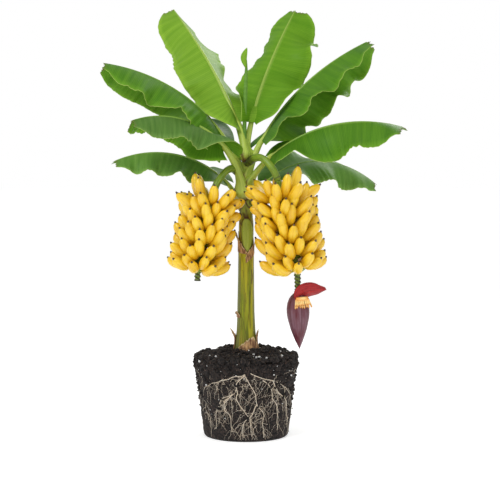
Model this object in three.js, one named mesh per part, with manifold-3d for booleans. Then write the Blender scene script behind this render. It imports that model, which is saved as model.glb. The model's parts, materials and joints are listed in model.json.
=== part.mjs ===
// A fruiting banana plant on its root ball: pseudostem, leaves, two bunches and a flower bud.
// Millimetres, +Z up. The origin is the middle of the root ball's flat underside, +Y is the back.
import * as THREE from 'three'
import { mergeVertices } from 'three/addons/utils/BufferGeometryUtils.js'
import Module from 'manifold-3d'

const wasm = await Module()
wasm.setup()

// ---- driving dimensions ----
const GAP = 0.3 // clearance that neighbours keep where they touch

const BALL_HEIGHT = 385 // root ball, underside to the rim
const BALL_RADIUS_TOP = 250
const BALL_RADIUS_FOOT = 205
const BALL_MOUND = 26 // how far the soil heaps up beside the stem
const BALL_LUMP = 5 // how rough the soil is
const ROOT_RADIUS = 5

const STEM_FOOT = 405 // where the pseudostem stands on the soil
// height above the foot and radius, from the root flare to the neck
const STEM_PROFILE = [[0, 60], [28, 56], [95, 47], [190, 42], [400, 38],
  [600, 35], [720, 29], [830, 26], [951, 21]]
const STEM_SIDES = 14

const STALK_SIDES = 8
const STALK_STEPS = 6
const BLADE_STEPS = 15
const BLADE_THICKNESS = 8 // a hundredth of the longest blade
const RIB_RADIUS = 10 // midrib at the foot of a blade
const STALK_RADIUS = [24, 15.5, 11] // leaf stalk at its foot, a quarter of the way and at the blade
const STALK_WIDE = 1.5 // how much wider than deep a stalk is where it clasps the stem
const BLADE_ACROSS = 2 // flats across each half blade
const BEND_POWER = 0.85 // how early a leaf bends along its length
const VEIN_SWEEP = 2 // degrees that the side veins lean forward at the foot
const VEIN_SWEEP_TIP = 14

// Each leaf: heading and lean of its foot in degrees (heading 0 is +X, 90 is the back), how far
// it swings and droops, stalk and blade length, its foot on the stem, how thick its stalk is, and
// the share of its width left at the torn tip. Each half has its width, its fold below flat at foot,
// middle and tip, the depth, count and phase of its waves, the degrees it curls across its width,
// the share of its width at the foot, and the degrees that its lobe there points back.
const LEAVES = [
  { name: 'leaf_1', heading: 150.4, swing: -41.5, lean: 77.3, droop: 52.9, roll: 2.8, twist: 15.3,
    stalk: 169, blade: 845, foot: [5, -12, 1348], girth: 1.5, tip: 0.36,
    left: { width: 171, folds: [-35, 70, 51], wave: 27, waves: 1.74, phase: 0.01,
      curl: 12, footShare: 0.4, lobe: 80 },
    right: { width: 186, folds: [-62, 11, 23], wave: 15, waves: 2.59, phase: -0.56,
      curl: 22, footShare: 0.5, lobe: 22 } },
  { name: 'leaf_2', heading: 45.3, swing: 18.2, lean: 79.1, droop: 38.7, roll: 54, twist: -2.4,
    stalk: 173, blade: 686, foot: [-5, 11, 1348], girth: 1.1, tip: 0.32,
    left: { width: 121, folds: [-53, 47, 69], wave: 48, waves: 1.11, phase: 0.59,
      curl: 7, footShare: 0.91, lobe: 25 },
    right: { width: 193, folds: [-67, -9, -4], wave: 42, waves: 2.58, phase: 0.2,
      curl: -25, footShare: 0.4, lobe: 27 } },
  { name: 'leaf_3', heading: 182, swing: 15.7, lean: 74.5, droop: 66.9, roll: 46.8, twist: -47.1,
    stalk: 180, blade: 696, foot: [-22, 10, 1263], girth: 1, tip: 0.3,
    left: { width: 195, folds: [80, 42, 14], wave: 16, waves: 3.01, phase: -0.36,
      curl: 38, footShare: 0.72, lobe: 34 },
    right: { width: 175, folds: [-80, 9, 85], wave: 48, waves: 1.29, phase: -0.45,
      curl: 6, footShare: 0.4, lobe: 32 } },
  { name: 'leaf_4', heading: 11.7, swing: -13.5, lean: 75.2, droop: 49.8, roll: -38.1, twist: 50,
    stalk: 205, blade: 681, foot: [6, 0, 1246], girth: 1.2, tip: 0.48,
    left: { width: 190, folds: [-76, 65, 31], wave: 48, waves: 2.97, phase: -0.34,
      curl: 40, footShare: 0.8, lobe: 50 },
    right: { width: 161, folds: [44, 47, 14], wave: 16, waves: 3.75, phase: -0.85,
      curl: 1, footShare: 0.7, lobe: 10 } },
  { name: 'leaf_5', heading: 207.7, swing: -0.4, lean: 88.9, droop: 106.2, roll: 50.2, twist: -8.4,
    stalk: 270, blade: 490, foot: [-18, -20, 1164], girth: 1.25, tip: 0.44,
    left: { width: 144, folds: [-17, 80, 51], wave: 27, waves: 1.45, phase: 0.04,
      curl: 40, footShare: 0.84, lobe: 80 },
    right: { width: 161, folds: [80, -22, -9], wave: 20, waves: 1, phase: 0.98,
      curl: 24, footShare: 0.73, lobe: 25 } },
  { name: 'leaf_6', heading: -11, swing: -11.9, lean: 60.8, droop: 76.3, roll: -17, twist: 50,
    stalk: 179, blade: 665, foot: [16, -14, 1216], girth: 1, tip: 0.52,
    left: { width: 100, folds: [-57, 18, 40], wave: 25, waves: 2.57, phase: -0.43,
      curl: 9, footShare: 0.56, lobe: 50 },
    right: { width: 195, folds: [32, 38, -28], wave: 35, waves: 2.07, phase: 0.43,
      curl: 22, footShare: 0.5, lobe: 25 } },
  { name: 'leaf_7', heading: 172.6, swing: 22.3, lean: 69.1, droop: 91.8, roll: -4.8, twist: -22.2,
    stalk: 157, blade: 550, foot: [-25, 20, 1110], girth: 0.9, tip: 0.38,
    left: { width: 128, folds: [14, 33, 7], wave: 27, waves: 3.3, phase: -0.43,
      curl: 10, footShare: 0.4, lobe: 66 },
    right: { width: 112, folds: [-28, 32, 35], wave: 20, waves: 2.61, phase: 0.55,
      curl: 10, footShare: 0.61, lobe: 53 } },
  { name: 'leaf_8', heading: 40.1, swing: -30.6, lean: 66.4, droop: 105.8, roll: -27.3, twist: 50,
    stalk: 171, blade: 614, foot: [29, 20, 1100], girth: 0.95, tip: 0.37,
    left: { width: 138, folds: [-57, -23, 55], wave: 48, waves: 1.64, phase: -0.66,
      curl: 13, footShare: 0.42, lobe: 45 },
    right: { width: 159, folds: [-1, 27, -3], wave: 18, waves: 2.84, phase: -0.58,
      curl: 40, footShare: 1, lobe: 25 } }
]
const ROLLED_LEAF = { foot: [-8, -2, 1350], tip: [4, 4, 1853], radius: 9, tipRadius: 5 }

// Dried ends of old sheaths on the stem: heading, foot, height, half the angle they wrap, flare.
const DRIED_SHEATHS = [
  { heading: 180, foot: 412, height: 92, wrap: 34, flare: 26 },
  { heading: 0, foot: 412, height: 88, wrap: 34, flare: 16 },
  { heading: -80, foot: 410, height: 70, wrap: 38, flare: 5 },
  { heading: -130, foot: 888, height: 72, wrap: 40, flare: 22 },
  { heading: -40, foot: 850, height: 84, wrap: 36, flare: 18 },
  { heading: -160, foot: 575, height: 26, wrap: 24, flare: 6 }
]
const SHEATH_THICKNESS = 3

const FRUIT_STALK_RADIUS = [19.5, 19, 17.5, 16] // from the stem to the first hand
// Each bunch: its arched stalk, the end of its axis, the height of its first hand and the spacing of
// the others, how far the hands are turned, the side away from the stem, and its fruits' size.
const BUNCHES = [
  { name: 'bunch_1',
    stalk: [[-14, -16, 1240], [-66, -60, 1284], [-99, -85, 1268],
      [-132, -110, 1224], [-152, -125, 1178]],
    axisFoot: [-229, -130, 756], firstHand: 1098, spacing: 56, turn: 10, outward: 180, size: 0.92 },
  { name: 'bunch_2',
    stalk: [[4, -14, 1310], [45, -78, 1335], [76, -122, 1333],
      [107, -150, 1308], [133, -162, 1271], [150, -164, 1229]],
    axisFoot: [246, -112, 694], firstHand: 1130, spacing: 62.5, turn: 22, outward: 0, size: 1.03 }
]
const AXIS_RADIUS = [16, 17, 15, 10] // bunch axis from its first hand to its end
const HAND_FRUITS = 9
// Each hand from the top down: slopes of its fruits at the cushion and at their tips, how much
// steeper the upper fruits on its outer side are, how much flatter the lower ones there and the
// fruits towards the stem are, its reach, how much longer the fruits on either side are, and how far
// it rises to its outer side.
const HANDS = [
  { slopes: [0, 78], steeper: 26, outerFlatter: 26, innerFlatter: 44,
    reach: 1.02, outer: 0.2, inner: -0.06, tilt: 0 },
  { slopes: [-4, 76], steeper: 6, outerFlatter: 8, innerFlatter: 38,
    reach: 1, outer: 0.1, inner: -0.1, tilt: 3 },
  { slopes: [-6, 75], steeper: 0, outerFlatter: 0, innerFlatter: 14,
    reach: 1, outer: 0.03, inner: -0.06, tilt: 6 },
  { slopes: [-8, 72], steeper: 0, outerFlatter: 0, innerFlatter: 6,
    reach: 1, outer: -0.03, inner: 0.08, tilt: 8 },
  { slopes: [-12, 66], steeper: 0, outerFlatter: 0, innerFlatter: 0,
    reach: 0.96, outer: -0.04, inner: 0.22, tilt: 10 },
  { slopes: [-17, 50], steeper: 0, outerFlatter: 0, innerFlatter: 0,
    reach: 0.88, outer: -0.02, inner: 0.14, tilt: 15 }
]
const ROW_STEEPER = 18 // degrees that a hand's upper row leaves the cushion steeper
const ROW_RISE = 8
const FRUIT_RADIUS = 28 // to the corners of its five sides
// radius of a fruit along its length, as shares of both
const FRUIT_PROFILE = [[0, 0], [0.13, 0.34], [0.36, 0.94], [0.74, 1], [0.94, 0.5], [1, 0]]
const FRUIT_LENGTH = 160 // with its stalk
const FRUIT_BEND = 0.8 // how early a fruit bends up along its length
const CUSHION_RADIUS = 40 // the cushion that a hand's fruits spring from
const CUSHION_HEIGHT = 32

const BUD = { top: [243, -112, 699], tip: [254, -116, 431], radius: 55 }
// height as a share of the bud's length, and radius as a share of the widest
const BUD_PROFILE = [[0, 0], [0.01, 0.3], [0.1, 0.72], [0.28, 1], [0.45, 0.96], [0.65, 0.72],
  [0.84, 0.38], [1, 0]]
// the lifted bract: a spoon along a spine, its width turned up from level
const BRACT = { width: 80, roll: 56, cup: 15, thickness: 4,
  spine: [[243, -128, 660], [262, -138, 700], [298, -142, 716], [342, -138, 713], [380, -126, 712]] }
const FLOWER_COUNT = 10
const FLOWER_LENGTH = 46

// ---- helpers ----
const UP = new THREE.Vector3(0, 0, 1)
const degrees = THREE.MathUtils.degToRad
const mix = THREE.MathUtils.lerp
const smooth = (x) => THREE.MathUtils.smoothstep(x, 0, 1)
const clamp = THREE.MathUtils.clamp
const point = (list) => new THREE.Vector3(...list)

// Even pseudo-random numbers from 0 to 1, the same on every run.
function seeded (seed) {
  let state = seed
  return () => {
    state = (state * 1664525 + 1013904223) % 4294967296
    return state / 4294967296
  }
}

// The value at x on a line through [x, y] points.
function along (points, x) {
  for (let i = 1; i < points.length; i++) {
    const [x0, y0] = points[i - 1]
    const [x1, y1] = points[i]
    if (x <= x1) return mix(y0, y1, clamp((x - x0) / (x1 - x0), 0, 1))
  }
  return points[points.length - 1][1]
}

// Evenly spaced values, read at a share from 0 to 1.
function spread (values, share) {
  const at = clamp(share, 0, 1) * (values.length - 1)
  const i = Math.min(Math.floor(at), values.length - 2)
  return mix(values[i], values[i + 1], at - i)
}

// Moves each vertex of a geometry whose axis is Y, given as height, angle and radius.
function warp (geometry, place) {
  const position = geometry.attributes.position
  const vertex = new THREE.Vector3()
  for (let i = 0; i < position.count; i++) {
    vertex.fromBufferAttribute(position, i)
    const radius = Math.hypot(vertex.x, vertex.z)
    const angle = radius < 1e-6 ? 0 : Math.atan2(vertex.x, vertex.z)
    const moved = place(vertex.y, angle, radius)
    position.setXYZ(i, moved.x, moved.y, moved.z)
  }
  return geometry
}

// A closed cylinder of sides and steps, from height 0 to 1 and of radius 1.
function blank (sides, steps) {
  return new THREE.CylinderGeometry(1, 1, 1, sides, steps).translate(0, 0.5, 0)
}

// A solid of a closed geometry, turned right side out where its making left it inside out.
function solid (geometry) {
  const bare = geometry.clone()
  bare.deleteAttribute('normal')
  bare.deleteAttribute('uv')
  const merged = mergeVertices(bare, 1e-3)
  const vertProperties = new Float32Array(merged.attributes.position.array)
  const triVerts = new Uint32Array(merged.index.array)
  const body = new wasm.Manifold(new wasm.Mesh({ numProp: 3, vertProperties, triVerts }))
  if (body.volume() > 0) return body
  return new wasm.Manifold(new wasm.Mesh({ numProp: 3, vertProperties, triVerts: triVerts.reverse() }))
}

function geometryOf (manifold) {
  const mesh = manifold.getMesh()
  const geometry = new THREE.BufferGeometry()
  geometry.setAttribute('position', new THREE.BufferAttribute(new Float32Array(mesh.vertProperties), 3))
  geometry.setIndex(new THREE.BufferAttribute(new Uint32Array(mesh.triVerts), 1))
  return geometry
}

// The largest body of a solid that a cut may have parted.
function largest (manifold) {
  const bodies = manifold.decompose()
  bodies.sort((a, b) => b.volume() - a.volume())
  return bodies[0]
}

// A round limb along a curve, its radius given by the share of its length.
function limb (curve, radiusAt, sides, steps, grow = 0) {
  const frames = curve.computeFrenetFrames(steps)
  const points = curve.getSpacedPoints(steps)
  return solid(warp(blank(sides, steps), (share, angle, rim) => {
    const i = Math.round(share * steps)
    const radius = rim < 0.5 ? 0 : radiusAt(share) + grow
    const end = i === 0 ? -grow : i === steps ? grow : 0
    return points[i].clone()
      .addScaledVector(frames.normals[i], radius * Math.cos(angle))
      .addScaledVector(frames.binormals[i], radius * Math.sin(angle))
      .addScaledVector(frames.tangents[i], end)
  }))
}

// ---- root ball ----
function rootBall () {
  const random = seeded(7)
  const sides = 20
  const seat = STEM_FOOT - GAP
  const lumps = Array.from({ length: sides * 8 }, () => random() - 0.5)
  const profile = [[0, 0], [BALL_RADIUS_FOOT - 6, 0], [BALL_RADIUS_FOOT, 6], [220, 130], [235, 260],
    [BALL_RADIUS_TOP, BALL_HEIGHT - 10], [BALL_RADIUS_TOP - 8, BALL_HEIGHT], [165, BALL_HEIGHT + 10],
    [96, BALL_HEIGHT + BALL_MOUND], [66, seat], [0, seat]]
  const rough = (row) => row > 1 && row < profile.length - 2
  const rows = profile.map(([r, z]) => new THREE.Vector2(r, z))
  const ball = new THREE.LatheGeometry(rows, sides)
  const position = ball.attributes.position
  for (let i = 0; i < position.count; i++) {
    const row = i % rows.length
    const side = Math.floor(i / rows.length) % sides
    const angle = side / sides * 2 * Math.PI
    const lump = rough(row) ? lumps[(side * 7 + row * 13) % lumps.length] * 2 * BALL_LUMP : 0
    const radius = profile[row][0] + lump
    const height = profile[row][1] + (rough(row) && row > 5 ? lump : 0)
    position.setXYZ(i, radius * Math.sin(angle), -radius * Math.cos(angle), height)
  }
  return solid(ball)
}

// Radius of the root ball's side at a height.
const ballSide = (z) => mix(BALL_RADIUS_FOOT, BALL_RADIUS_TOP, z / BALL_HEIGHT)

// Main roots on the ball's face: heading and height of each turn, in degrees and millimetres.
const ROOTS = [
  [[-92, 310], [-110, 262], [-140, 205]],
  [[-94, 290], [-112, 170], [-101, 70]],
  [[-90, 290], [-78, 150], [-88, 60]],
  [[-88, 300], [-66, 270], [-42, 180]],
  [[-84, 285], [-62, 190], [-50, 100]],
  [[88, 300], [98, 190], [104, 60]]
]

function mainRoots () {
  return ROOTS.map((turns) => {
    const route = turns.map(([heading, z]) => {
      const angle = degrees(heading)
      const radius = ballSide(z) + 1
      return new THREE.Vector3(radius * Math.cos(angle), radius * Math.sin(angle), z)
    })
    const curve = new THREE.CatmullRomCurve3(route)
    return limb(curve, (share) => ROOT_RADIUS * (1 - 0.4 * share), 4, 5)
  })
}

// ---- pseudostem ----
const stemRadius = (z) => along(STEM_PROFILE, z - STEM_FOOT)

function stem (grow = 0) {
  const heights = STEM_PROFILE.map(([height]) => STEM_FOOT + height)
  const steps = heights.length - 1
  return solid(warp(blank(STEM_SIDES, steps), (share, angle, rim) => {
    const i = Math.round(share * steps)
    const end = i === 0 ? -grow : i === steps ? grow : 0
    const radius = rim < 0.5 ? 0 : stemRadius(heights[i]) + grow
    return new THREE.Vector3(radius * Math.sin(angle), -radius * Math.cos(angle), heights[i] + end)
  }))
}

// A dried sheath end: a curved plate that clasps the stem and flares out towards its tip.
function driedSheath ({ heading, foot, height, wrap, flare }, grow = 0) {
  const rows = 4
  const columns = 4
  const plate = new THREE.BoxGeometry(2, 1, 1, columns, rows, 1).translate(0, 0.5, 0.5)
  const position = plate.attributes.position
  for (let i = 0; i < position.count; i++) {
    const side = position.getX(i)
    const share = position.getY(i)
    const deep = position.getZ(i)
    const z = foot + height * share * (1 - 0.35 * side * side)
    const angle = degrees(heading + wrap * side * (1 - 0.45 * share) * (1 + grow * 0.01))
    const inner = stemRadius(z) + GAP + 0.6 + flare * share * share
    const radius = inner - grow + (SHEATH_THICKNESS + 2 * grow) * deep
    position.setXYZ(i, radius * Math.cos(angle), radius * Math.sin(angle), z)
  }
  return solid(plate)
}

// ---- leaves ----
// The line of a leaf from its foot to its tip, with a frame at each share of its length.
function leafLine (leaf) {
  const pieces = 80
  const length = leaf.stalk + leaf.blade
  const tangentAt = (share) => {
    const lean = degrees(leaf.lean - leaf.droop * Math.pow(share, BEND_POWER))
    const heading = degrees(leaf.heading + leaf.swing * share)
    return new THREE.Vector3(
      Math.cos(lean) * Math.cos(heading), Math.cos(lean) * Math.sin(heading), Math.sin(lean))
  }
  const points = [point(leaf.foot)]
  for (let i = 0; i < pieces; i++) {
    const middle = tangentAt(i / pieces).add(tangentAt((i + 1) / pieces)).multiplyScalar(0.5)
    points.push(points[i].clone().addScaledVector(middle, length / pieces))
  }
  return (share) => {
    const at = clamp(share, 0, 1) * pieces
    const i = Math.min(Math.floor(at), pieces - 1)
    const place = points[i].clone().lerp(points[i + 1], at - i)
    const tangent = tangentAt(share)
    const heading = degrees(leaf.heading + leaf.swing * share)
    const bladeShare = clamp((share * length - leaf.stalk) / leaf.blade, 0, 1)
    const roll = degrees(leaf.roll + leaf.twist * bladeShare)
    const level = new THREE.Vector3(-Math.sin(heading), Math.cos(heading), 0)
    const above = tangent.clone().cross(level)
    const side = level.clone().multiplyScalar(Math.cos(roll)).addScaledVector(above, Math.sin(roll))
    const face = above.multiplyScalar(Math.cos(roll)).addScaledVector(level, -Math.sin(roll))
    return { place, tangent, side, face }
  }
}

function stalkRadius (leaf, share) {
  return leaf.girth * (share < 0.25
    ? mix(STALK_RADIUS[0], STALK_RADIUS[1], smooth(share / 0.25))
    : mix(STALK_RADIUS[1], STALK_RADIUS[2], (share - 0.25) / 0.75))
}

function leafStalk (leaf, grow = 0) {
  const line = leafLine(leaf)
  const share = leaf.stalk / (leaf.stalk + leaf.blade)
  return solid(warp(blank(STALK_SIDES, STALK_STEPS), (part, angle, rim) => {
    const { place, tangent, side, face } = line(part * share)
    const radius = rim < 0.5 ? 0 : stalkRadius(leaf, part) + grow
    const wide = mix(STALK_WIDE, 1, smooth(part / 0.5))
    const end = part < 0.001 ? -grow : part > 0.999 ? grow : 0
    return place.addScaledVector(face, radius * Math.cos(angle))
      .addScaledVector(side, -radius * wide * Math.sin(angle))
      .addScaledVector(tangent, end)
  }))
}

// Width of a half blade along its length, as a share of its widest.
function bladeProfile (t, footShare, tipShare) {
  const foot = mix(footShare, 1, Math.sin(Math.PI / 2 * clamp(t / 0.22, 0, 1)))
  const tip = 1 - (1 - tipShare) * Math.pow(clamp((t - 0.62) / 0.38, 0, 1), 2.2)
  return foot * tip
}

// The points of one half across its width at t, from the midrib to the margin, each with the
// normal of the blade there. hand is 1 for the left half and -1 for the right.
function halfAcross (half, tipShare, hand, t, frame, pieces) {
  const [foot, middle, tip] = half.folds
  const fold = foot + (middle - foot) * smooth(t / 0.25) + (tip - middle) * smooth((t - 0.55) / 0.45)
  const calm = smooth(t / 0.12) * (1 - 0.6 * smooth((t - 0.8) / 0.2))
  const wave = half.wave * calm * Math.sin(2 * Math.PI * (half.waves * t + half.phase))
  const back = (half.lobe + VEIN_SWEEP) * (1 - smooth(t / 0.16))
  const sweep = degrees(VEIN_SWEEP + VEIN_SWEEP_TIP * t - back)
  const step = half.width * bladeProfile(t, half.footShare, tipShare) / pieces
  const points = [{ place: frame.place.clone(), normal: frame.face.clone() }]
  for (let i = 0; i < pieces; i++) {
    const v = (i + 0.5) / pieces
    const angle = degrees(fold + half.curl * v + wave * v)
    const out = frame.side.clone().multiplyScalar(hand * Math.cos(angle))
      .addScaledVector(frame.face, -Math.sin(angle))
    const normal = frame.face.clone().multiplyScalar(Math.cos(angle))
      .addScaledVector(frame.side, hand * Math.sin(angle))
    const way = out.multiplyScalar(Math.cos(sweep)).addScaledVector(frame.tangent, Math.sin(sweep))
    points.push({ place: points[i].place.clone().addScaledVector(way, step), normal, way })
  }
  return points
}

function leafBlade (leaf, grow = 0) {
  const line = leafLine(leaf)
  const length = leaf.stalk + leaf.blade
  const sides = 4 * BLADE_ACROSS + 2
  const under = sides / 2
  const half = BLADE_THICKNESS / 2 + grow
  return solid(warp(blank(sides, BLADE_STEPS), (t, angle, rim) => {
    const frame = line((leaf.stalk + leaf.blade * t) / length)
    const end = t < 0.001 ? GAP - grow : t > 0.999 ? grow : 0
    frame.place.addScaledVector(frame.tangent, end)
    if (rim < 0.5) return frame.place
    const corner = (Math.round(angle / (2 * Math.PI) * sides) + sides) % sides
    const rib = mix(RIB_RADIUS * leaf.girth, 3, t) + grow
    if (corner === 0) return frame.place.addScaledVector(frame.face, Math.max(half, rib * 0.5))
    if (corner === under) return frame.place.addScaledVector(frame.face, -Math.max(half, rib))
    const right = corner < under
    const hand = right ? -1 : 1
    const across = halfAcross(right ? leaf.right : leaf.left, leaf.tip, hand, t, frame, BLADE_ACROSS)
    const index = right ? corner : sides - corner
    const top = index <= BLADE_ACROSS
    const column = top ? index : under - index
    const { place, normal, way } = across[column]
    const margin = column === BLADE_ACROSS ? grow : 0
    return place.addScaledVector(normal, top ? half : -half).addScaledVector(way, margin)
  }))
}

function rolledLeaf (grow = 0) {
  const { foot, tip, radius, tipRadius } = ROLLED_LEAF
  const middle = point(foot).lerp(point(tip), 0.5).add(new THREE.Vector3(-3, 2, 0))
  const curve = new THREE.CatmullRomCurve3([point(foot), middle, point(tip)])
  const radii = [radius, radius, radius * 0.9, tipRadius * 1.7, tipRadius * 0.7]
  return limb(curve, (share) => spread(radii, share), 7, 8, grow)
}

// ---- bunches ----
function fruitStalk (bunch, grow = 0) {
  const curve = new THREE.CatmullRomCurve3(bunch.stalk.map(point))
  return limb(curve, (share) => spread(FRUIT_STALK_RADIUS, share), 9, 10, grow)
}

function axisCurve (bunch) {
  const head = point(bunch.stalk.at(-1))
  const before = point(bunch.stalk.at(-2))
  const way = head.clone().sub(before).normalize()
  const start = head.clone().addScaledVector(way, GAP)
  const foot = point(bunch.axisFoot)
  const between = (x, y, z) =>
    new THREE.Vector3(mix(head.x, foot.x, x), mix(head.y, foot.y, y), mix(head.z, foot.z, z))
  return new THREE.CatmullRomCurve3([start, between(0.22, 0.4, 0.3), between(0.9, 0.8, 0.75), foot])
}

function bunchAxis (bunch, grow = 0) {
  return limb(axisCurve(bunch), (share) => spread(AXIS_RADIUS, share), 9, 10, grow)
}

// The point of a bunch's axis at a height.
function axisAt (curve, z) {
  let low = 0
  let high = 1
  for (let i = 0; i < 30; i++) {
    const middle = (low + high) / 2
    if (curve.getPointAt(middle).z > z) low = middle
    else high = middle
  }
  return { centre: curve.getPointAt(low), way: curve.getTangentAt(low) }
}

// One fruit: a plump finger that leaves the cushion at one slope and curves up to another.
function fruit (centre, heading, slopes, length, grow = 0) {
  const steps = 24
  const flat = new THREE.Vector3(Math.cos(heading), Math.sin(heading), 0)
  const side = new THREE.Vector3(-Math.sin(heading), Math.cos(heading), 0)
  const line = [centre.clone().addScaledVector(flat, CUSHION_RADIUS * 0.6)]
  const slopeAt = (share) => degrees(mix(slopes[0], slopes[1], Math.pow(share, FRUIT_BEND)))
  for (let i = 0; i < steps; i++) {
    const slope = slopeAt((i + 0.5) / steps)
    line.push(line[i].clone().addScaledVector(flat, Math.cos(slope) * length / steps)
      .addScaledVector(UP, Math.sin(slope) * length / steps))
  }
  const outline = FRUIT_PROFILE.map(([share, girth]) =>
    new THREE.Vector2(girth * FRUIT_RADIUS + (girth ? grow : 0), share))
  return solid(warp(new THREE.LatheGeometry(outline, 5), (share, angle, radius) => {
    const slope = slopeAt(share)
    const out = flat.clone().multiplyScalar(Math.sin(slope)).addScaledVector(UP, -Math.cos(slope))
    const tangent = flat.clone().multiplyScalar(Math.cos(slope)).addScaledVector(UP, Math.sin(slope))
    const at = share * steps
    const i = Math.min(Math.floor(at), steps - 1)
    const end = share < 0.001 ? -grow : share > 0.999 ? grow : 0
    return line[i].clone().lerp(line[i + 1], at - i)
      .addScaledVector(out, radius * Math.cos(angle))
      .addScaledVector(side, -radius * Math.sin(angle))
      .addScaledVector(tangent, end)
  }))
}

// A hand: a cushion round the axis with a ring of fruits, steeper at the top of the bunch.
function hand (bunch, index, grow = 0) {
  const random = seeded(11 + index * 31 + bunch.turn)
  const rule = HANDS[index]
  const { centre, way } = axisAt(axisCurve(bunch), bunch.firstHand - bunch.spacing * index)
  const cushionLine = new THREE.LineCurve3(
    centre.clone().addScaledVector(way, -CUSHION_HEIGHT / 2),
    centre.clone().addScaledVector(way, CUSHION_HEIGHT / 2))
  let whole = limb(cushionLine, () => CUSHION_RADIUS, HAND_FRUITS, 1, grow)
  for (let i = 0; i < HAND_FRUITS; i++) {
    const jitter = random() - 0.5
    const turn = (i + 0.5 * (index % 2)) * 360 / HAND_FRUITS + bunch.turn + 5 * jitter
    const upper = i % 2
    const outward = Math.cos(degrees(turn - bunch.outward))
    const outer = Math.max(outward, 0)
    const inner = Math.max(-outward, 0)
    const steeper = rule.steeper * outer * upper
    const flatter = rule.outerFlatter * outer * (1 - upper) + rule.innerFlatter * inner
    const slopes = [rule.slopes[0] + ROW_STEEPER * upper + steeper,
      rule.slopes[1] + 6 * upper - 4 * random() + 0.3 * steeper - flatter]
    const reach = bunch.size * rule.reach * (1 + rule.outer * outer + rule.inner * inner)
    const length = FRUIT_LENGTH * reach * (1 + 0.08 * (random() - 0.5))
    const root = centre.clone().addScaledVector(UP, ROW_RISE * upper + rule.tilt * outward)
    whole = whole.add(fruit(root, degrees(turn), slopes, length, grow))
  }
  return whole
}

// ---- flower ----
function flowerBud (grow = 0) {
  const top = point(BUD.top)
  const way = point(BUD.tip).sub(top)
  const length = way.length()
  way.normalize()
  const side = new THREE.Vector3(0, 1, 0).cross(way).normalize()
  const front = way.clone().cross(side)
  const outline = BUD_PROFILE.map(([share, girth]) =>
    new THREE.Vector2(girth * BUD.radius + (girth ? grow : 0), share))
  return solid(warp(new THREE.LatheGeometry(outline, 12), (share, angle, radius) => {
    const end = share < 0.001 ? -grow : share > 0.999 ? grow : 0
    return top.clone().addScaledVector(way, share * length + end)
      .addScaledVector(side, -radius * Math.sin(angle))
      .addScaledVector(front, radius * Math.cos(angle))
  }))
}

// The lifted bract: a spoon that leaves the bud's neck, arches over and ends in a point.
function bract (grow = 0) {
  const { spine, width, roll, cup, thickness } = BRACT
  const rows = 7
  const curve = new THREE.CatmullRomCurve3(spine.map(point))
  const plate = new THREE.BoxGeometry(2, 1, 2, 4, rows, 1).translate(0, 0.5, 0)
  const position = plate.attributes.position
  const level = new THREE.Vector3(0, 1, 0)
  for (let i = 0; i < position.count; i++) {
    const side = position.getX(i)
    const share = position.getY(i)
    const deep = position.getZ(i) * (thickness / 2 + grow)
    const tangent = curve.getTangentAt(share)
    const turn = degrees(mix(20, roll, smooth(share / 0.4)))
    const above = level.clone().cross(tangent)
    const across = level.clone().multiplyScalar(Math.cos(turn)).addScaledVector(above, Math.sin(turn))
    const outward = across.clone().cross(tangent)
    const half = (width / 2 + grow) * Math.pow(Math.sin(Math.PI * mix(0.2, 0.985, share)), 0.7)
    const end = share < 0.001 ? -grow : share > 0.999 ? grow : 0
    const place = curve.getPointAt(share).addScaledVector(across, side * half)
      .addScaledVector(outward, deep - cup * side * side * smooth(share / 0.2))
      .addScaledVector(tangent, end)
    position.setXYZ(i, place.x, place.y, place.z)
  }
  return solid(plate)
}

// Male flowers under the bract: two rows of slim fingers on a short cushion.
function maleFlowers (grow = 0) {
  const neck = point(BUD.top).add(new THREE.Vector3(10, -42, -26))
  const across = new THREE.Vector3(1, 0.1, 0.08).normalize()
  const ridge = new THREE.LineCurve3(
    neck.clone().addScaledVector(across, -16), neck.clone().addScaledVector(across, 52))
  let whole = limb(ridge, () => 9, 6, 1, grow)
  for (let i = 0; i < FLOWER_COUNT; i++) {
    const row = i % 2
    const share = Math.floor(i / 2) / (FLOWER_COUNT / 2 - 1)
    const root = ridge.getPointAt(mix(0.04, 0.96, share))
    const lean = new THREE.Vector3(mix(-0.25, 0.55, share), -0.55 + 0.35 * row, -1).normalize()
    const end = root.clone().addScaledVector(lean, FLOWER_LENGTH * (row ? 1 : 0.82))
    const line = new THREE.LineCurve3(root, end)
    whole = whole.add(limb(line, (at) => mix(5.4, 3.2, at), 4, 1, grow))
  }
  return whole
}

// ---- assembly ----
const paint = (color, roughness) => new THREE.MeshStandardMaterial({ color, roughness, metalness: 0 })
const MATERIALS = {
  soil: paint(0x2b211a, 0.95),
  stem: paint(0x7f9440, 0.6),
  dried: paint(0x9a7448, 0.9),
  stalk: paint(0x93ad52, 0.55),
  leaf: paint(0x4f8a2c, 0.45),
  peduncle: paint(0x6f9034, 0.55),
  fruit: paint(0xf5c832, 0.45),
  bud: paint(0x6f3c46, 0.5),
  bract: paint(0x9a2f38, 0.5),
  flower: paint(0xe8c65a, 0.6)
}

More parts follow.
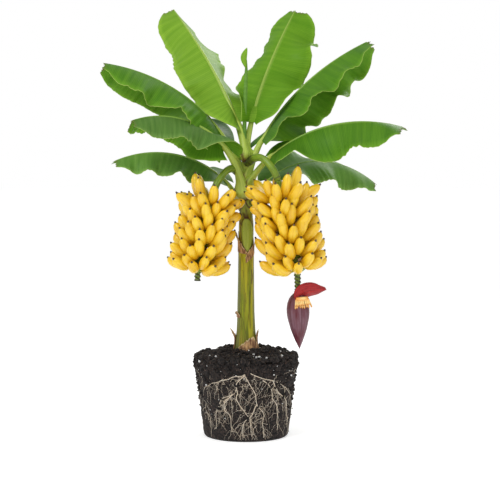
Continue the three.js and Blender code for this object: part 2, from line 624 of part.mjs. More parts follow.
// Every piece in the order in which it keeps its place: a later one is cut clear of those before.
function pieces () {
  const list = [{ name: 'pseudostem', make: stem, material: MATERIALS.stem }]
  for (const bunch of BUNCHES) {
    const name = `${bunch.name}_stalk`
    list.push({ name, make: (g) => fruitStalk(bunch, g), material: MATERIALS.peduncle })
  }
  for (const leaf of LEAVES) {
    list.push({ name: `${leaf.name}_stalk`, make: (g) => leafStalk(leaf, g), material: MATERIALS.stalk })
  }
  list.push({ name: 'rolled_leaf', make: rolledLeaf, material: MATERIALS.leaf })
  for (const bunch of BUNCHES) {
    list.push({ name: `${bunch.name}_axis`, make: (g) => bunchAxis(bunch, g), material: MATERIALS.peduncle })
    HANDS.forEach((rule, i) => {
      const name = `${bunch.name}_hand_${i + 1}`
      list.push({ name, make: (g) => hand(bunch, i, g), material: MATERIALS.fruit })
    })
  }
  for (const leaf of LEAVES) {
    list.push({ name: `${leaf.name}_blade`, make: (g) => leafBlade(leaf, g), material: MATERIALS.leaf })
  }
  list.push({ name: 'flower_bud', make: flowerBud, material: MATERIALS.bud })
  list.push({ name: 'bract', make: bract, material: MATERIALS.bract })
  list.push({ name: 'male_flowers', make: maleFlowers, material: MATERIALS.flower })
  DRIED_SHEATHS.forEach((sheath, i) => {
    const name = `dried_sheath_${i + 1}`
    list.push({ name, make: (g) => driedSheath(sheath, g), material: MATERIALS.dried })
  })
  return list
}

const boxOf = (manifold) => {
  const { min, max } = manifold.boundingBox()
  return new THREE.Box3(point(min), point(max))
}

const plant = new THREE.Group()

function addNode (name, manifold, material) {
  const mesh = new THREE.Mesh(geometryOf(manifold), material)
  mesh.name = name
  plant.add(mesh)
}

const ball = mainRoots().reduce((whole, root) => whole.add(root), rootBall())
addNode('root_ball', largest(ball), MATERIALS.soil)

const placed = []
for (const { name, make, material } of pieces()) {
  let body = make(0)
  const box = boxOf(body)
  for (const other of placed) {
    if (!other.box.intersectsBox(box)) continue
    if (body.intersect(other.grown).volume() > 0) body = body.subtract(other.grown)
  }
  body = largest(body)
  const grown = make(GAP)
  placed.push({ grown, box: boxOf(grown) })
  addNode(name, body, material)
}

export default plant
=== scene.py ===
# %% [markdown]
# # A fruiting banana plant on its root ball
# A banana plant has no woody trunk. Its stem is a roll of leaf sheaths, each older one wrapped
# round the younger ones, and every sheath runs up into a stalk that carries one paddle of a leaf.
# This lesson dresses the solids of such a plant: root ball, stem, leaves, fruit and flower.
# Each new piece starts from a plain bmesh shape with a known height and angle at every vertex, and
# a short rule then moves those vertices into place. The same way serves stem, stalk, fruit and
# flower. Spin and extrude suit turned and straight parts, and nothing here is quite round or straight.

# %% Load the solids and the tools
import json
import math
import random

import bmesh
import bpy
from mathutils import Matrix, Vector, noise

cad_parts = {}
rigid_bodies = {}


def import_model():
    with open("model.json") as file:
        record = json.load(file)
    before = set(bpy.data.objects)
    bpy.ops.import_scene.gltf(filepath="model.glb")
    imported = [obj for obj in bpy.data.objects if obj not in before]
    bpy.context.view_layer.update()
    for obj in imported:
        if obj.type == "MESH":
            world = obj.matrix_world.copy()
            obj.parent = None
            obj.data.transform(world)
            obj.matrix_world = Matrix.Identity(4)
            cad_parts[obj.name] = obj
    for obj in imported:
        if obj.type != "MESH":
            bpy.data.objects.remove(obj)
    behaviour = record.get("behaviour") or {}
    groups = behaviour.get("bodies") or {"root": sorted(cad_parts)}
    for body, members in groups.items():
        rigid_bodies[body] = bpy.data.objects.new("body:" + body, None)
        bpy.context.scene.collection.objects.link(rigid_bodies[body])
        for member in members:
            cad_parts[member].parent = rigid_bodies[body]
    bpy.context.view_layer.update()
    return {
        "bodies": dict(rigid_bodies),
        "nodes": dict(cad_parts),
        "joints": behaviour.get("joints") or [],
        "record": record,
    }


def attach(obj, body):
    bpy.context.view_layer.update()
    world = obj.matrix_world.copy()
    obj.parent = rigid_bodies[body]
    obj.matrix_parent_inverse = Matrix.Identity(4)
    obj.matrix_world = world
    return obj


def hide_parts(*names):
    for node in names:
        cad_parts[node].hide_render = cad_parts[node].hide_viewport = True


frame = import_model()
MM = 0.001

# %% [markdown]
# ## Camera, floor and light
# A plant this tall is shown from a distance with a long lens, so that its leaves keep their
# proportions. The camera is 7 m away and looks down by a few degrees. Large soft lights and a white
# surround give the even light of a studio, and one stronger light from the upper left models the form.

# %% Camera
CAMERA_DISTANCE = 7.0
LOOK_DOWN = math.radians(4)
AIM = Vector((0.019, 0.0, 0.893))
LENS = 105
camera_data = bpy.data.cameras.new("camera")
camera_data.lens = LENS
camera_data.sensor_width = 36
camera_data.clip_end = 60
camera = bpy.data.objects.new("camera", camera_data)
camera.location = AIM + CAMERA_DISTANCE * Vector((0, -math.cos(LOOK_DOWN), math.sin(LOOK_DOWN)))
camera.rotation_euler = (math.radians(90) - LOOK_DOWN, 0, 0)
bpy.context.scene.collection.objects.link(camera)
bpy.context.scene.camera = camera
print("camera at", [round(c, 2) for c in camera.location])


# %% Lights and surround
def soft_light(name, place, size, power, target=(0, 0, 1.1)):
    data = bpy.data.lights.new(name, "AREA")
    data.shape = "DISK"
    data.size = size
    data.energy = power
    light = bpy.data.objects.new(name, data)
    light.location = place
    light.rotation_euler = (Vector(target) - Vector(place)).to_track_quat("-Z", "Y").to_euler()
    bpy.context.scene.collection.objects.link(light)


soft_light("key_light", (-2.4, -3.2, 4.6), 2.0, 105)
soft_light("fill_light", (3.4, -3.0, 2.4), 2.6, 20)
soft_light("rim_light", (1.8, 3.6, 3.8), 2.2, 60)
# The surround looks pure white to the camera, and lights the plant a little less than that.
SURROUND_LIGHT = 0.62
world = bpy.data.worlds.new("studio")
world.use_nodes = True
surround = world.node_tree.nodes["Background"]
seen = world.node_tree.nodes.new("ShaderNodeLightPath")
level = world.node_tree.nodes.new("ShaderNodeMapRange")
level.inputs["To Min"].default_value = SURROUND_LIGHT
world.node_tree.links.new(seen.outputs["Is Camera Ray"], level.inputs["Value"])
world.node_tree.links.new(level.outputs["Result"], surround.inputs["Strength"])
surround.inputs["Color"].default_value = (1, 1, 1, 1)
bpy.context.scene.world = world
bpy.context.scene.view_settings.view_transform = "Standard"

# %% [markdown]
# ## Small tools for node materials
# A material is a handful of nodes. These helpers add a node with its inputs in one line, so that each
# material below reads as a recipe.


# %% Node helpers
def add(tree, kind, inputs=None, **settings):
    node = tree.nodes.new(kind)
    for key, value in settings.items():
        setattr(node, key, value)
    for key, value in (inputs or {}).items():
        if isinstance(value, bpy.types.NodeSocket):
            tree.links.new(value, node.inputs[key])
        else:
            node.inputs[key].default_value = value
    return node


def calc(tree, operation, first, second=0.0):
    return add(tree, "ShaderNodeMath", {0: first, 1: second}, operation=operation).outputs[0]


def stretch(tree, value, low, high, out_low=0.0, out_high=1.0):
    node = add(tree, "ShaderNodeMapRange", {"Value": value, "From Min": low, "From Max": high,
                                            "To Min": out_low, "To Max": out_high})
    return node.outputs[0]


def colour_mix(tree, factor, first, second):
    return add(tree, "ShaderNodeMix", {0: factor, 6: first, 7: second}, data_type="RGBA").outputs[2]


def rgb(red, green, blue):
    """A colour given by its 0 to 255 display values, as the linear values that shaders use."""
    linear = [((c / 255 + 0.055) / 1.055) ** 2.4 for c in (red, green, blue)]
    return (*linear, 1.0)


def new_material(name, roughness=0.5, **sockets):
    material = bpy.data.materials.new(name)
    material.use_nodes = True
    shader = material.node_tree.nodes["Principled BSDF"]
    shader.inputs["Roughness"].default_value = roughness
    for key, value in sockets.items():
        shader.inputs[key.replace("_", " ")].default_value = value
    return material, material.node_tree, shader


# %% [markdown]
# ## Effects that several finishes share
# Grain, streaks and specks turn up on the stem, the leaves, the fruit and the flower alike, each at
# its own scale. Each effect is built once as a node group with named inputs.


# %% Shared node groups
FLOAT = "NodeSocketFloat"
VECTOR = "NodeSocketVector"


def new_group(name, output, inputs):
    """A node group with one output. Each input has a label, a kind and its usual value."""
    group = bpy.data.node_groups.new(name, "ShaderNodeTree")
    for label, kind, value in inputs:
        socket = group.interface.new_socket(label, in_out="INPUT", socket_type=kind)
        if value is not None:
            socket.default_value = value
    group.interface.new_socket(output, in_out="OUTPUT", socket_type=FLOAT)
    result = group.nodes.new("NodeGroupOutput").inputs[output]
    return group, group.nodes.new("NodeGroupInput").outputs, result


# Streaks: noise drawn out along one direction by a different scale on each axis.
streaks, given, result = new_group("streaks", "Mask", (
    ("Place", VECTOR, None), ("Stretch", VECTOR, (1, 1, 1)), ("Low", FLOAT, 0.35), ("High", FLOAT, 0.7)))
scaled = add(streaks, "ShaderNodeVectorMath", {0: given["Place"], 1: given["Stretch"]}, operation="MULTIPLY")
drawn = add(streaks, "ShaderNodeTexNoise", {"Vector": scaled.outputs[0], "Scale": 1.0, "Detail": 4.0})
streaks.links.new(stretch(streaks, drawn.outputs["Fac"], given["Low"], given["High"]), result)

# Specks: small round dots, thinned out by a second noise so that they come in drifts.
specks, given, result = new_group("specks", "Mask", (
    ("Place", VECTOR, None), ("Scale", FLOAT, 200.0), ("Size", FLOAT, 0.2), ("Amount", FLOAT, 0.5)))
cells = add(specks, "ShaderNodeTexVoronoi", {"Vector": given["Place"], "Scale": given["Scale"]})
dots = calc(specks, "LESS_THAN", cells.outputs["Distance"], given["Size"])
drift = add(specks, "ShaderNodeTexNoise", {"Vector": given["Place"], "Scale": 18.0, "Detail": 2.0})
few = calc(specks, "LESS_THAN", drift.outputs["Fac"], given["Amount"])
specks.links.new(calc(specks, "MULTIPLY", dots, few), result)

# Ribs: even waves across a length, bent a little by noise so that no two are quite alike.
ribs, given, result = new_group("ribs", "Wave", (
    ("Along", FLOAT, 0.0), ("Count", FLOAT, 60.0), ("Wander", FLOAT, 0.3), ("Place", VECTOR, None)))
bend = add(ribs, "ShaderNodeTexNoise", {"Vector": given["Place"], "Scale": 6.0, "Detail": 2.0})
shift = calc(ribs, "MULTIPLY", bend.outputs["Fac"], given["Wander"])
phase = calc(ribs, "ADD", calc(ribs, "MULTIPLY", given["Along"], given["Count"]), shift)
wave = calc(ribs, "SINE", calc(ribs, "MULTIPLY", phase, 2 * math.pi))
ribs.links.new(stretch(ribs, wave, -1.0, 1.0), result)


def effect(tree, group, **inputs):
    return add(tree, "ShaderNodeGroup", inputs, node_tree=group).outputs[0]


def streaked(tree, place, scale, low, high):
    return effect(tree, streaks, Place=place, Stretch=scale, Low=low, High=high)


def mark(tree, name):
    """A mark that the mesh keeps on its own vertices."""
    return add(tree, "ShaderNodeAttribute", attribute_name=name).outputs["Fac"]


def uv_of(tree):
    """The piece's own UV map: U goes round or across, V goes along."""
    node = add(tree, "ShaderNodeUVMap", uv_map="UVMap")
    split = add(tree, "ShaderNodeSeparateXYZ", {"Vector": node.outputs["UV"]})
    return node.outputs["UV"], split.outputs["X"], split.outputs["Y"]


def coats(tree, base, *layers):
    """Lays colours over a base. Each layer is a mask, how strongly it covers, and its colour."""
    for mask, amount, colour in layers:
        base = colour_mix(tree, calc(tree, "MULTIPLY", mask, amount), base, colour)
    return base


def paint(tree, shader, base, relief=None, strength=0.0, depth=0.001, roughness=None):
    """Joins a colour to the shader, with the relief and the roughness that go with it."""
    tree.links.new(base, shader.inputs["Base Color"])
    if roughness is not None:
        tree.links.new(roughness, shader.inputs["Roughness"])
    if relief is not None:
        node = add(tree, "ShaderNodeBump", {"Height": relief, "Strength": strength, "Distance": depth})
        tree.links.new(node.outputs["Normal"], shader.inputs["Normal"])


print("effects:", [group.name for group in bpy.data.node_groups])

# %% [markdown]
# ## Leaf finish
# The upper face of a banana leaf is a deep green with a greyish sheen, ribbed across by hundreds of
# parallel veins. The lower face is paler. The light that comes through the leaf is painted into the
# colours of both faces as a brighter yellow-green, in bands, on the fine veins and near the margins.
# A thin pale line edges each margin. U runs from margin to margin and V from foot to tip, and since
# the mesh rows follow the veins, a pattern on V alone draws every vein.


# %% Leaf materials
def leaf_material(name, deep, bright, painted_through_light):
    deep, bright, painted_through_light = rgb(*deep), rgb(*bright), rgb(*painted_through_light)
    material, tree, shader = new_material(name, 0.46, Specular_IOR_Level=0.2, IOR=1.3)
    uv, across, along = uv_of(tree)
    off_rib = calc(tree, "ABSOLUTE", calc(tree, "SUBTRACT", calc(tree, "MULTIPLY", across, 2.0), 1.0))
    veins = effect(tree, ribs, Along=along, Count=84.0, Wander=0.6, Place=uv)
    fine = effect(tree, ribs, Along=along, Count=250.0, Wander=0.8, Place=uv)
    bands = streaked(tree, uv, (0.7, 30.0, 1.0), 0.3, 0.74)
    wide = streaked(tree, uv, (1.1, 7.0, 1.0), 0.34, 0.7)
    scorch = streaked(tree, uv, (14.0, 60.0, 1.0), 0.4, 0.6)
    near_margin, edge = stretch(tree, off_rib, 0.8, 0.99), stretch(tree, off_rib, 0.982, 0.994)
    near_rib, near_tip = stretch(tree, off_rib, 0.07, 0.015), stretch(tree, along, 0.975, 0.998)
    base = colour_mix(tree, stretch(tree, wide, 0.0, 1.0, 0.25, 0.8), deep, bright)
    # The third colour is painted light: the light that comes through the leaf, laid over the bands, the fine
    # veins and the zone near each margin.
    base = coats(tree, base, (bands, 0.5, painted_through_light), (veins, 0.4, deep), (fine, 0.2, painted_through_light),
                 (near_margin, 0.5, painted_through_light), (edge, 0.7, rgb(178, 196, 104)),
                 (near_rib, 0.5, rgb(150, 180, 84)), (near_tip, scorch, rgb(112, 92, 62)))
    relief = calc(tree, "ADD", veins, calc(tree, "MULTIPLY", fine, 0.35))
    paint(tree, shader, base, relief, 0.22, 0.0008, stretch(tree, wide, 0.0, 1.0, 0.42, 0.52))
    return material


LEAF_TOP = leaf_material("leaf_top", (44, 92, 20), (78, 132, 30), (116, 166, 44))
LEAF_TOP_OLD = leaf_material("leaf_top_old", (52, 92, 34), (84, 126, 48), (120, 156, 76))
# A lighter copy of the top finish. On leaves 7 and 8, which lie in shade, its extra lightness is painted
# light.
LEAF_TOP_LIGHTENED = leaf_material("leaf_top_lightened", (60, 106, 34), (98, 146, 54), (140, 180, 88))
LEAF_TOP_MIDDLE = leaf_material("leaf_top_middle", (66, 118, 18), (98, 152, 28), (136, 182, 50))
LEAF_TOP_YOUNG = leaf_material("leaf_top_young", (84, 132, 26), (114, 160, 36), (156, 196, 66))
LEAF_UNDER = leaf_material("leaf_under", (62, 116, 24), (92, 146, 32), (126, 172, 48))
print("leaf materials ready")

# %% [markdown]
# ## Stalk, stem and fruit stalk finishes
# Leaf stalks are pale green with fine lengthwise fibres. The stem adds brown sheath edges, which come
# from an attribute that the stem's own mesh carries; the same attribute also holds a band of painted
# shade down the stem's right side. Fruit stalks are olive with dark ring scars.


# %% Stalk and stem materials
def stalk_material():
    material, tree, shader = new_material("leaf_stalk", 0.42)
    uv = uv_of(tree)[0]
    fibres = streaked(tree, uv, (60.0, 5.0, 1.0), 0.35, 0.68)
    patches = streaked(tree, uv, (3.0, 4.0, 1.0), 0.4, 0.65)
    deep, pale = rgb(152, 182, 54), rgb(206, 222, 104)
    base = coats(tree, colour_mix(tree, fibres, deep, pale), (patches, 0.35, pale),
                 (mark(tree, "tint"), 1.0, rgb(112, 156, 50)), (mark(tree, "edge"), 1.0, rgb(92, 58, 34)))
    paint(tree, shader, base, fibres, 0.25, 0.0008)
    return material


def stem_material():
    material, tree, shader = new_material("stem", 0.46, Specular_IOR_Level=0.3)
    uv, _, along = uv_of(tree)
    fibres = streaked(tree, uv, (70.0, 6.0, 1.0), 0.36, 0.66)
    broad = streaked(tree, uv, (14.0, 3.0, 1.0), 0.42, 0.62)
    brown = streaked(tree, uv, (30.0, 9.0, 1.0), 0.56, 0.72)
    dark = effect(tree, specks, Place=uv, Scale=60.0, Size=0.16, Amount=0.47)
    fresh = colour_mix(tree, fibres, rgb(134, 166, 44), rgb(196, 214, 108))
    foot = stretch(tree, along, 0.11, 0.0)
    # The edge mark browns the sheath edges, and also paints shade down the stem's right side.
    base = coats(tree, colour_mix(tree, fibres, rgb(78, 90, 6), rgb(152, 160, 20)),
                 (broad, 0.7, rgb(190, 180, 30)), (brown, 0.75, rgb(78, 52, 14)),
                 (mark(tree, "tint"), 0.85, fresh), (foot, 0.6, rgb(112, 84, 46)),
                 (mark(tree, "grey"), 0.75, rgb(98, 104, 54)), (dark, 0.65, rgb(52, 40, 28)),
                 (mark(tree, "edge"), 1.0, rgb(70, 46, 32)))
    paint(tree, shader, base, fibres, 0.35, 0.001, stretch(tree, brown, 0.0, 1.0, 0.46, 0.68))
    return material


def fruit_stalk_material():
    material, tree, shader = new_material("fruit_stalk", 0.4)
    fibres = streaked(tree, uv_of(tree)[0], (30.0, 8.0, 1.0), 0.35, 0.68)
    base = coats(tree, colour_mix(tree, fibres, rgb(92, 126, 24), rgb(140, 164, 44)),
                 (mark(tree, "edge"), 1.0, rgb(44, 38, 22)))
    paint(tree, shader, base, fibres, 0.25, 0.0008)
    return material


def dried_material():
    material, tree, shader = new_material("dried_sheath", 0.8)
    uv, _, along = uv_of(tree)
    fibres = streaked(tree, uv, (13.0, 1.2, 1.0), 0.34, 0.64)
    stain = streaked(tree, uv, (4.0, 1.6, 1.0), 0.44, 0.64)
    rim = calc(tree, "MULTIPLY", stretch(tree, along, 0.84, 0.97), stretch(tree, fibres, 0.2, 0.6))
    base = coats(tree, colour_mix(tree, fibres, rgb(84, 42, 28), rgb(224, 180, 124)),
                 (stain, 0.8, rgb(92, 50, 40)), (rim, 0.8, rgb(240, 220, 168)))
    paint(tree, shader, base, fibres, 0.8, 0.0015)
    return material


STALK = stalk_material()
STEM = stem_material()
FRUIT_STALK = fruit_stalk_material()
DRIED = dried_material()
print("stem materials ready")

# %% [markdown]
# ## Fruit and flower finishes
# A ripe fruit is warm yellow, a little green at its neck, darker along its ridges and freckled, with a
# black dried tip. The flower bud is dull purple under a grey-blue bloom, ribbed lengthwise.


# %% Fruit and flower materials
def fruit_material():
    material, tree, shader = new_material("fruit", 0.4, Coat_Weight=0.3, Coat_Roughness=0.26)
    uv, across, along = uv_of(tree)
    place = add(tree, "ShaderNodeTexCoord").outputs["Object"]
    ridge = effect(tree, ribs, Along=across, Count=5.0, Wander=0.1, Place=uv)
    patches = streaked(tree, place, (14.0, 14.0, 14.0), 0.38, 0.64)
    freckles = effect(tree, specks, Place=place, Scale=420.0, Size=0.2, Amount=0.45)
    neck, tip = stretch(tree, along, 0.24, 0.08), stretch(tree, along, 0.94, 0.955)
    base = coats(tree, colour_mix(tree, patches, rgb(240, 202, 42), rgb(228, 182, 18)),
                 (stretch(tree, ridge, 0.82, 1.0), 0.3, rgb(206, 146, 16)),
                 (freckles, 0.35, rgb(172, 112, 22)), (neck, 1.0, rgb(196, 178, 58)),
                 (tip, 1.0, rgb(66, 42, 20)))
    paint(tree, shader, base, patches, 0.15)
    return material


def bud_material(name, colour, bloom_colour, bloom_amount, count):
    material, tree, shader = new_material(name, 0.45, Specular_IOR_Level=0.35)
    uv, across, _ = uv_of(tree)
    lines = effect(tree, ribs, Along=across, Count=count, Wander=0.8, Place=uv)
    bloom = streaked(tree, uv, (16.0, 3.0, 1.0), 0.36, 0.66)
    base = coats(tree, rgb(*colour), (bloom, bloom_amount, rgb(*bloom_colour)),
                 (lines, 0.3, rgb(*colour)), (mark(tree, "edge"), 0.8, rgb(70, 26, 34)))
    paint(tree, shader, base, lines, 0.4)
    return material


def flower_material():
    material, tree, shader = new_material("male_flower", 0.45)
    along = uv_of(tree)[2]
    base = colour_mix(tree, stretch(tree, along, 0.1, 0.5), rgb(232, 160, 74), rgb(248, 214, 140))
    paint(tree, shader, coats(tree, base, (stretch(tree, along, 0.7, 0.98), 1.0, rgb(214, 138, 52))))
    return material


FRUIT = fruit_material()
BUD = bud_material("flower_bud", (92, 32, 42), (132, 102, 114), 0.75, 44.0)
BRACT_OUT = bud_material("bract_outside", (136, 10, 20), (204, 44, 42), 0.7, 30.0)
BRACT_IN = bud_material("bract_inside", (110, 10, 22), (78, 16, 36), 0.6, 24.0)
FLOWER = flower_material()
print("fruit and flower materials ready")

# %% [markdown]
# ## Soil and root finishes
# Potting soil is nearly black, with brown fibres and white grains of perlite. The grains are their own
# small meshes, so the soil itself only needs crumbs of light and dark.


# %% Soil materials
def soil_material(name, dark, light, crumb):
    material, tree, shader = new_material(name, 0.95)
    place = add(tree, "ShaderNodeTexCoord").outputs["Object"]
    grain = streaked(tree, place, (crumb, crumb, crumb), 0.42, 0.72)
    broad = streaked(tree, place, (24.0, 24.0, 30.0), 0.42, 0.6)
    base = colour_mix(tree, grain, rgb(*dark), rgb(*light))
    paint(tree, shader, coats(tree, base, (broad, 0.5, rgb(*dark))), grain, 0.9, 0.004)
    return material


SOIL = soil_material("soil", (4, 3, 3), (76, 62, 55), 110.0)
SOIL_BROWN = soil_material("soil_brown", (34, 23, 20), (134, 108, 94), 240.0)
ROOT = soil_material("roots", (222, 204, 180), (250, 244, 228), 90.0)
PERLITE = soil_material("perlite", (250, 250, 248), (255, 255, 254), 300.0)
print("materials:", len(bpy.data.materials))

# %% [markdown]
# ## Blanks: shapes that know their own height and angle
# A blank is a cylinder of height 1 and radius 1 with even steps, or a flat sheet with even rows and
# columns. It carries a UV map before it is shaped. A rule then takes each vertex's height, angle
# and radius, and says where it goes, so one blank becomes a stem, a stalk, a fruit or a bud.


# %% Blanks and the warp
def map_uv(bm, u_of, v_of, wraps):
    layer = bm.loops.layers.uv.new("UVMap")
    for face in bm.faces:
        values = [u_of(loop.vert.co) for loop in face.loops]
        seam = wraps and max(values) - min(values) > 0.5
        for loop, u in zip(face.loops, values):
            loop[layer].uv = (u + 1 if seam and u < 0.5 else u, v_of(loop.vert.co))


def rod_blank(sides, steps, stations=None):
    """A closed rod of height 1. Stations are the heights of its rings, where they aren't even."""
    bm = bmesh.new()
    bmesh.ops.create_cone(bm, cap_ends=True, segments=sides, radius1=1, radius2=1, depth=1)
    bmesh.ops.translate(bm, verts=bm.verts, vec=(0, 0, 0.5))
    upright = [edge for edge in bm.edges if abs(edge.verts[0].co.z - edge.verts[1].co.z) > 0.5]
    if steps > 1:
        bmesh.ops.subdivide_edges(bm, edges=upright, cuts=steps - 1)
    if stations:
        for vertex in bm.verts:
            vertex.co.z = stations[round(vertex.co.z * steps)]
    map_uv(bm, lambda co: (math.atan2(co.y, co.x) / (2 * math.pi)) % 1.0, lambda co: co.z, True)
    return bm


def sheet_blank(columns, rows):
    bm = bmesh.new()
    bmesh.ops.create_grid(bm, x_segments=columns, y_segments=rows, size=0.5)
    bmesh.ops.translate(bm, verts=bm.verts, vec=(0.5, 0.5, 0))
    map_uv(bm, lambda co: co.x, lambda co: co.y, False)
    return bm


def warp(bm, place, **marks):
    """Moves every vertex to place(height, angle, rim). Marks are rules of (height, angle) that are
    kept on the vertices for a material to read."""
    layers = {name: bm.verts.layers.float.new(name) for name in marks}
    for vertex in bm.verts:
        x, y, z = vertex.co
        angle = math.atan2(y, x)
        for name, rule in marks.items():
            vertex[layers[name]] = rule(z, angle)
        vertex.co = place(z, angle, math.hypot(x, y))
    return bm


def add_copy(bm, shape, place):
    """Adds a copy of a blank's mesh to bm, each vertex put where place(height, angle, rim) says."""
    before = len(bm.verts)
    bm.from_mesh(shape)
    bm.verts.ensure_lookup_table()
    for i in range(before, len(bm.verts)):
        x, y, z = bm.verts[i].co
        bm.verts[i].co = place(z, math.atan2(y, x), math.hypot(x, y))


def template(bm, name):
    mesh = bpy.data.meshes.new(name)
    bm.to_mesh(mesh)
    bm.free()
    return mesh


def finish_piece(name, bm, materials, stands_for=(), thickness=0.0):
    """Makes the object of a bmesh drawn in millimetres. A sheet gets its thickness here, and its
    second material on the lower face."""
    bmesh.ops.scale(bm, verts=bm.verts, vec=(MM, MM, MM))
    if not thickness:
        bmesh.ops.recalc_face_normals(bm, faces=bm.faces)
    mesh = template(bm, name)
    for material in materials:
        mesh.materials.append(material)
    mesh.shade_smooth()
    obj = bpy.data.objects.new(name, mesh)
    bpy.context.scene.collection.objects.link(obj)
    if thickness:
        skin = obj.modifiers.new("thickness", "SOLIDIFY")
        skin.thickness = thickness * MM
        skin.offset = -1
        skin.material_offset = len(materials) - 1
    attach(obj, "root")
    if stands_for:
        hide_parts(*stands_for)
    print(f"{name}: {len(mesh.polygons)} faces")
    return obj


def around(radius, angle, z=0.0):
    """The point at a radius, an angle and a height round the upright axis."""
    return Vector((radius * math.cos(angle), radius * math.sin(angle), z))


def uneven(x, y, z):
    """Smooth noise from -1 to 1."""
    return noise.noise(Vector((x, y, z)))


def mix(low, high, share):
    return low + (high - low) * share


def clamp(value, low=0.0, high=1.0):
    return max(low, min(high, value))


def ease(x):
    x = clamp(x)
    return x * x * (3 - 2 * x)


def read_line(points, x):
    """The value at x on a line through (x, y) points."""
    for (x0, y0), (x1, y1) in zip(points, points[1:]):
        if x <= x1:
            return mix(y0, y1, clamp((x - x0) / (x1 - x0)))
    return points[-1][1]


def spread(values, share):
    at = clamp(share) * (len(values) - 1)
    i = min(int(at), len(values) - 2)
    return mix(values[i], values[i + 1], at - i)


# %% [markdown]
# ## A smooth line through a few points
# Fruit stalks and roots follow a curve through a few points. A Catmull-Rom curve passes through
# each of them. Frames carried along it without twisting keep a tube from wringing itself.


# %% Curves and tubes
def smooth_line(points, steps):
    """Evenly spaced points on a Catmull-Rom curve, with a tangent and two normals at each."""
    pts = [Vector(p) for p in points]
    pts = [2 * pts[0] - pts[1]] + pts + [2 * pts[-1] - pts[-2]]
    fine = []
    for i in range(1, len(pts) - 2):
        for k in range(16):
            t = k / 16
            a, b, c, d = pts[i - 1:i + 3]
            fine.append(0.5 * (2 * b + (c - a) * t + (2 * a - 5 * b + 4 * c - d) * t * t
                               + (3 * b - a - 3 * c + d) * t ** 3))
    fine.append(pts[-2])
    lengths = [0.0]
    for a, b in zip(fine, fine[1:]):
        lengths.append(lengths[-1] + (b - a).length)
    places = []
    j = 0
    for i in range(steps + 1):
        want = lengths[-1] * i / steps
        while j < len(lengths) - 2 and lengths[j + 1] < want:
            j += 1
        gap = max(lengths[j + 1] - lengths[j], 1e-9)
        places.append(fine[j].lerp(fine[j + 1], (want - lengths[j]) / gap))
    tangents = [(places[min(i + 1, steps)] - places[max(i - 1, 0)]).normalized() for i in range(steps + 1)]
    helper = Vector((0, 0, 1)) if abs(tangents[0].z) < 0.9 else Vector((1, 0, 0))
    side = tangents[0].cross(helper).normalized()
    frames = []
    for place, tangent in zip(places, tangents):
        side = (side - tangent * side.dot(tangent)).normalized()
        frames.append((place, tangent, side, tangent.cross(side)))
    return frames


def tube_rule(frames, radius_at):
    """A rule for a rod blank: radius_at(share, angle) in millimetres along the frames."""
    last = len(frames) - 1

    def place(share, angle, rim):
        centre, tangent, side, other = frames[round(share * last)]
        radius = radius_at(share, angle) * rim
        return centre + side * (radius * math.cos(angle)) + other * (radius * math.sin(angle))
    return place


# %% [markdown]
# ## Leaves
# A banana leaf is one line, from its foot on the stem, up the stalk and along the midrib, with a half
# blade on each side. The line leaves the stem steeply and droops under its load. Each half blade
# folds up or down from the midrib, curls across its width, and waves along its margin, because the
# margin grows longer than the midrib. Side veins run out to the margin and lean a little forward.
# A leaf has 33 numbers: where it starts, how it leans, swings and droops, and how each half is
# folded and waved.
#
# Most of them were found by a fitting program and were not set by hand. It searched for the line,
# folds and waves that bring each leaf's outline, seen from the front, nearest to a set of points.
# Where a twist of 50 or a wave of 48 comes back, the search had reached its limit. A script should
# not hold such a table, so this one is no pattern to follow.

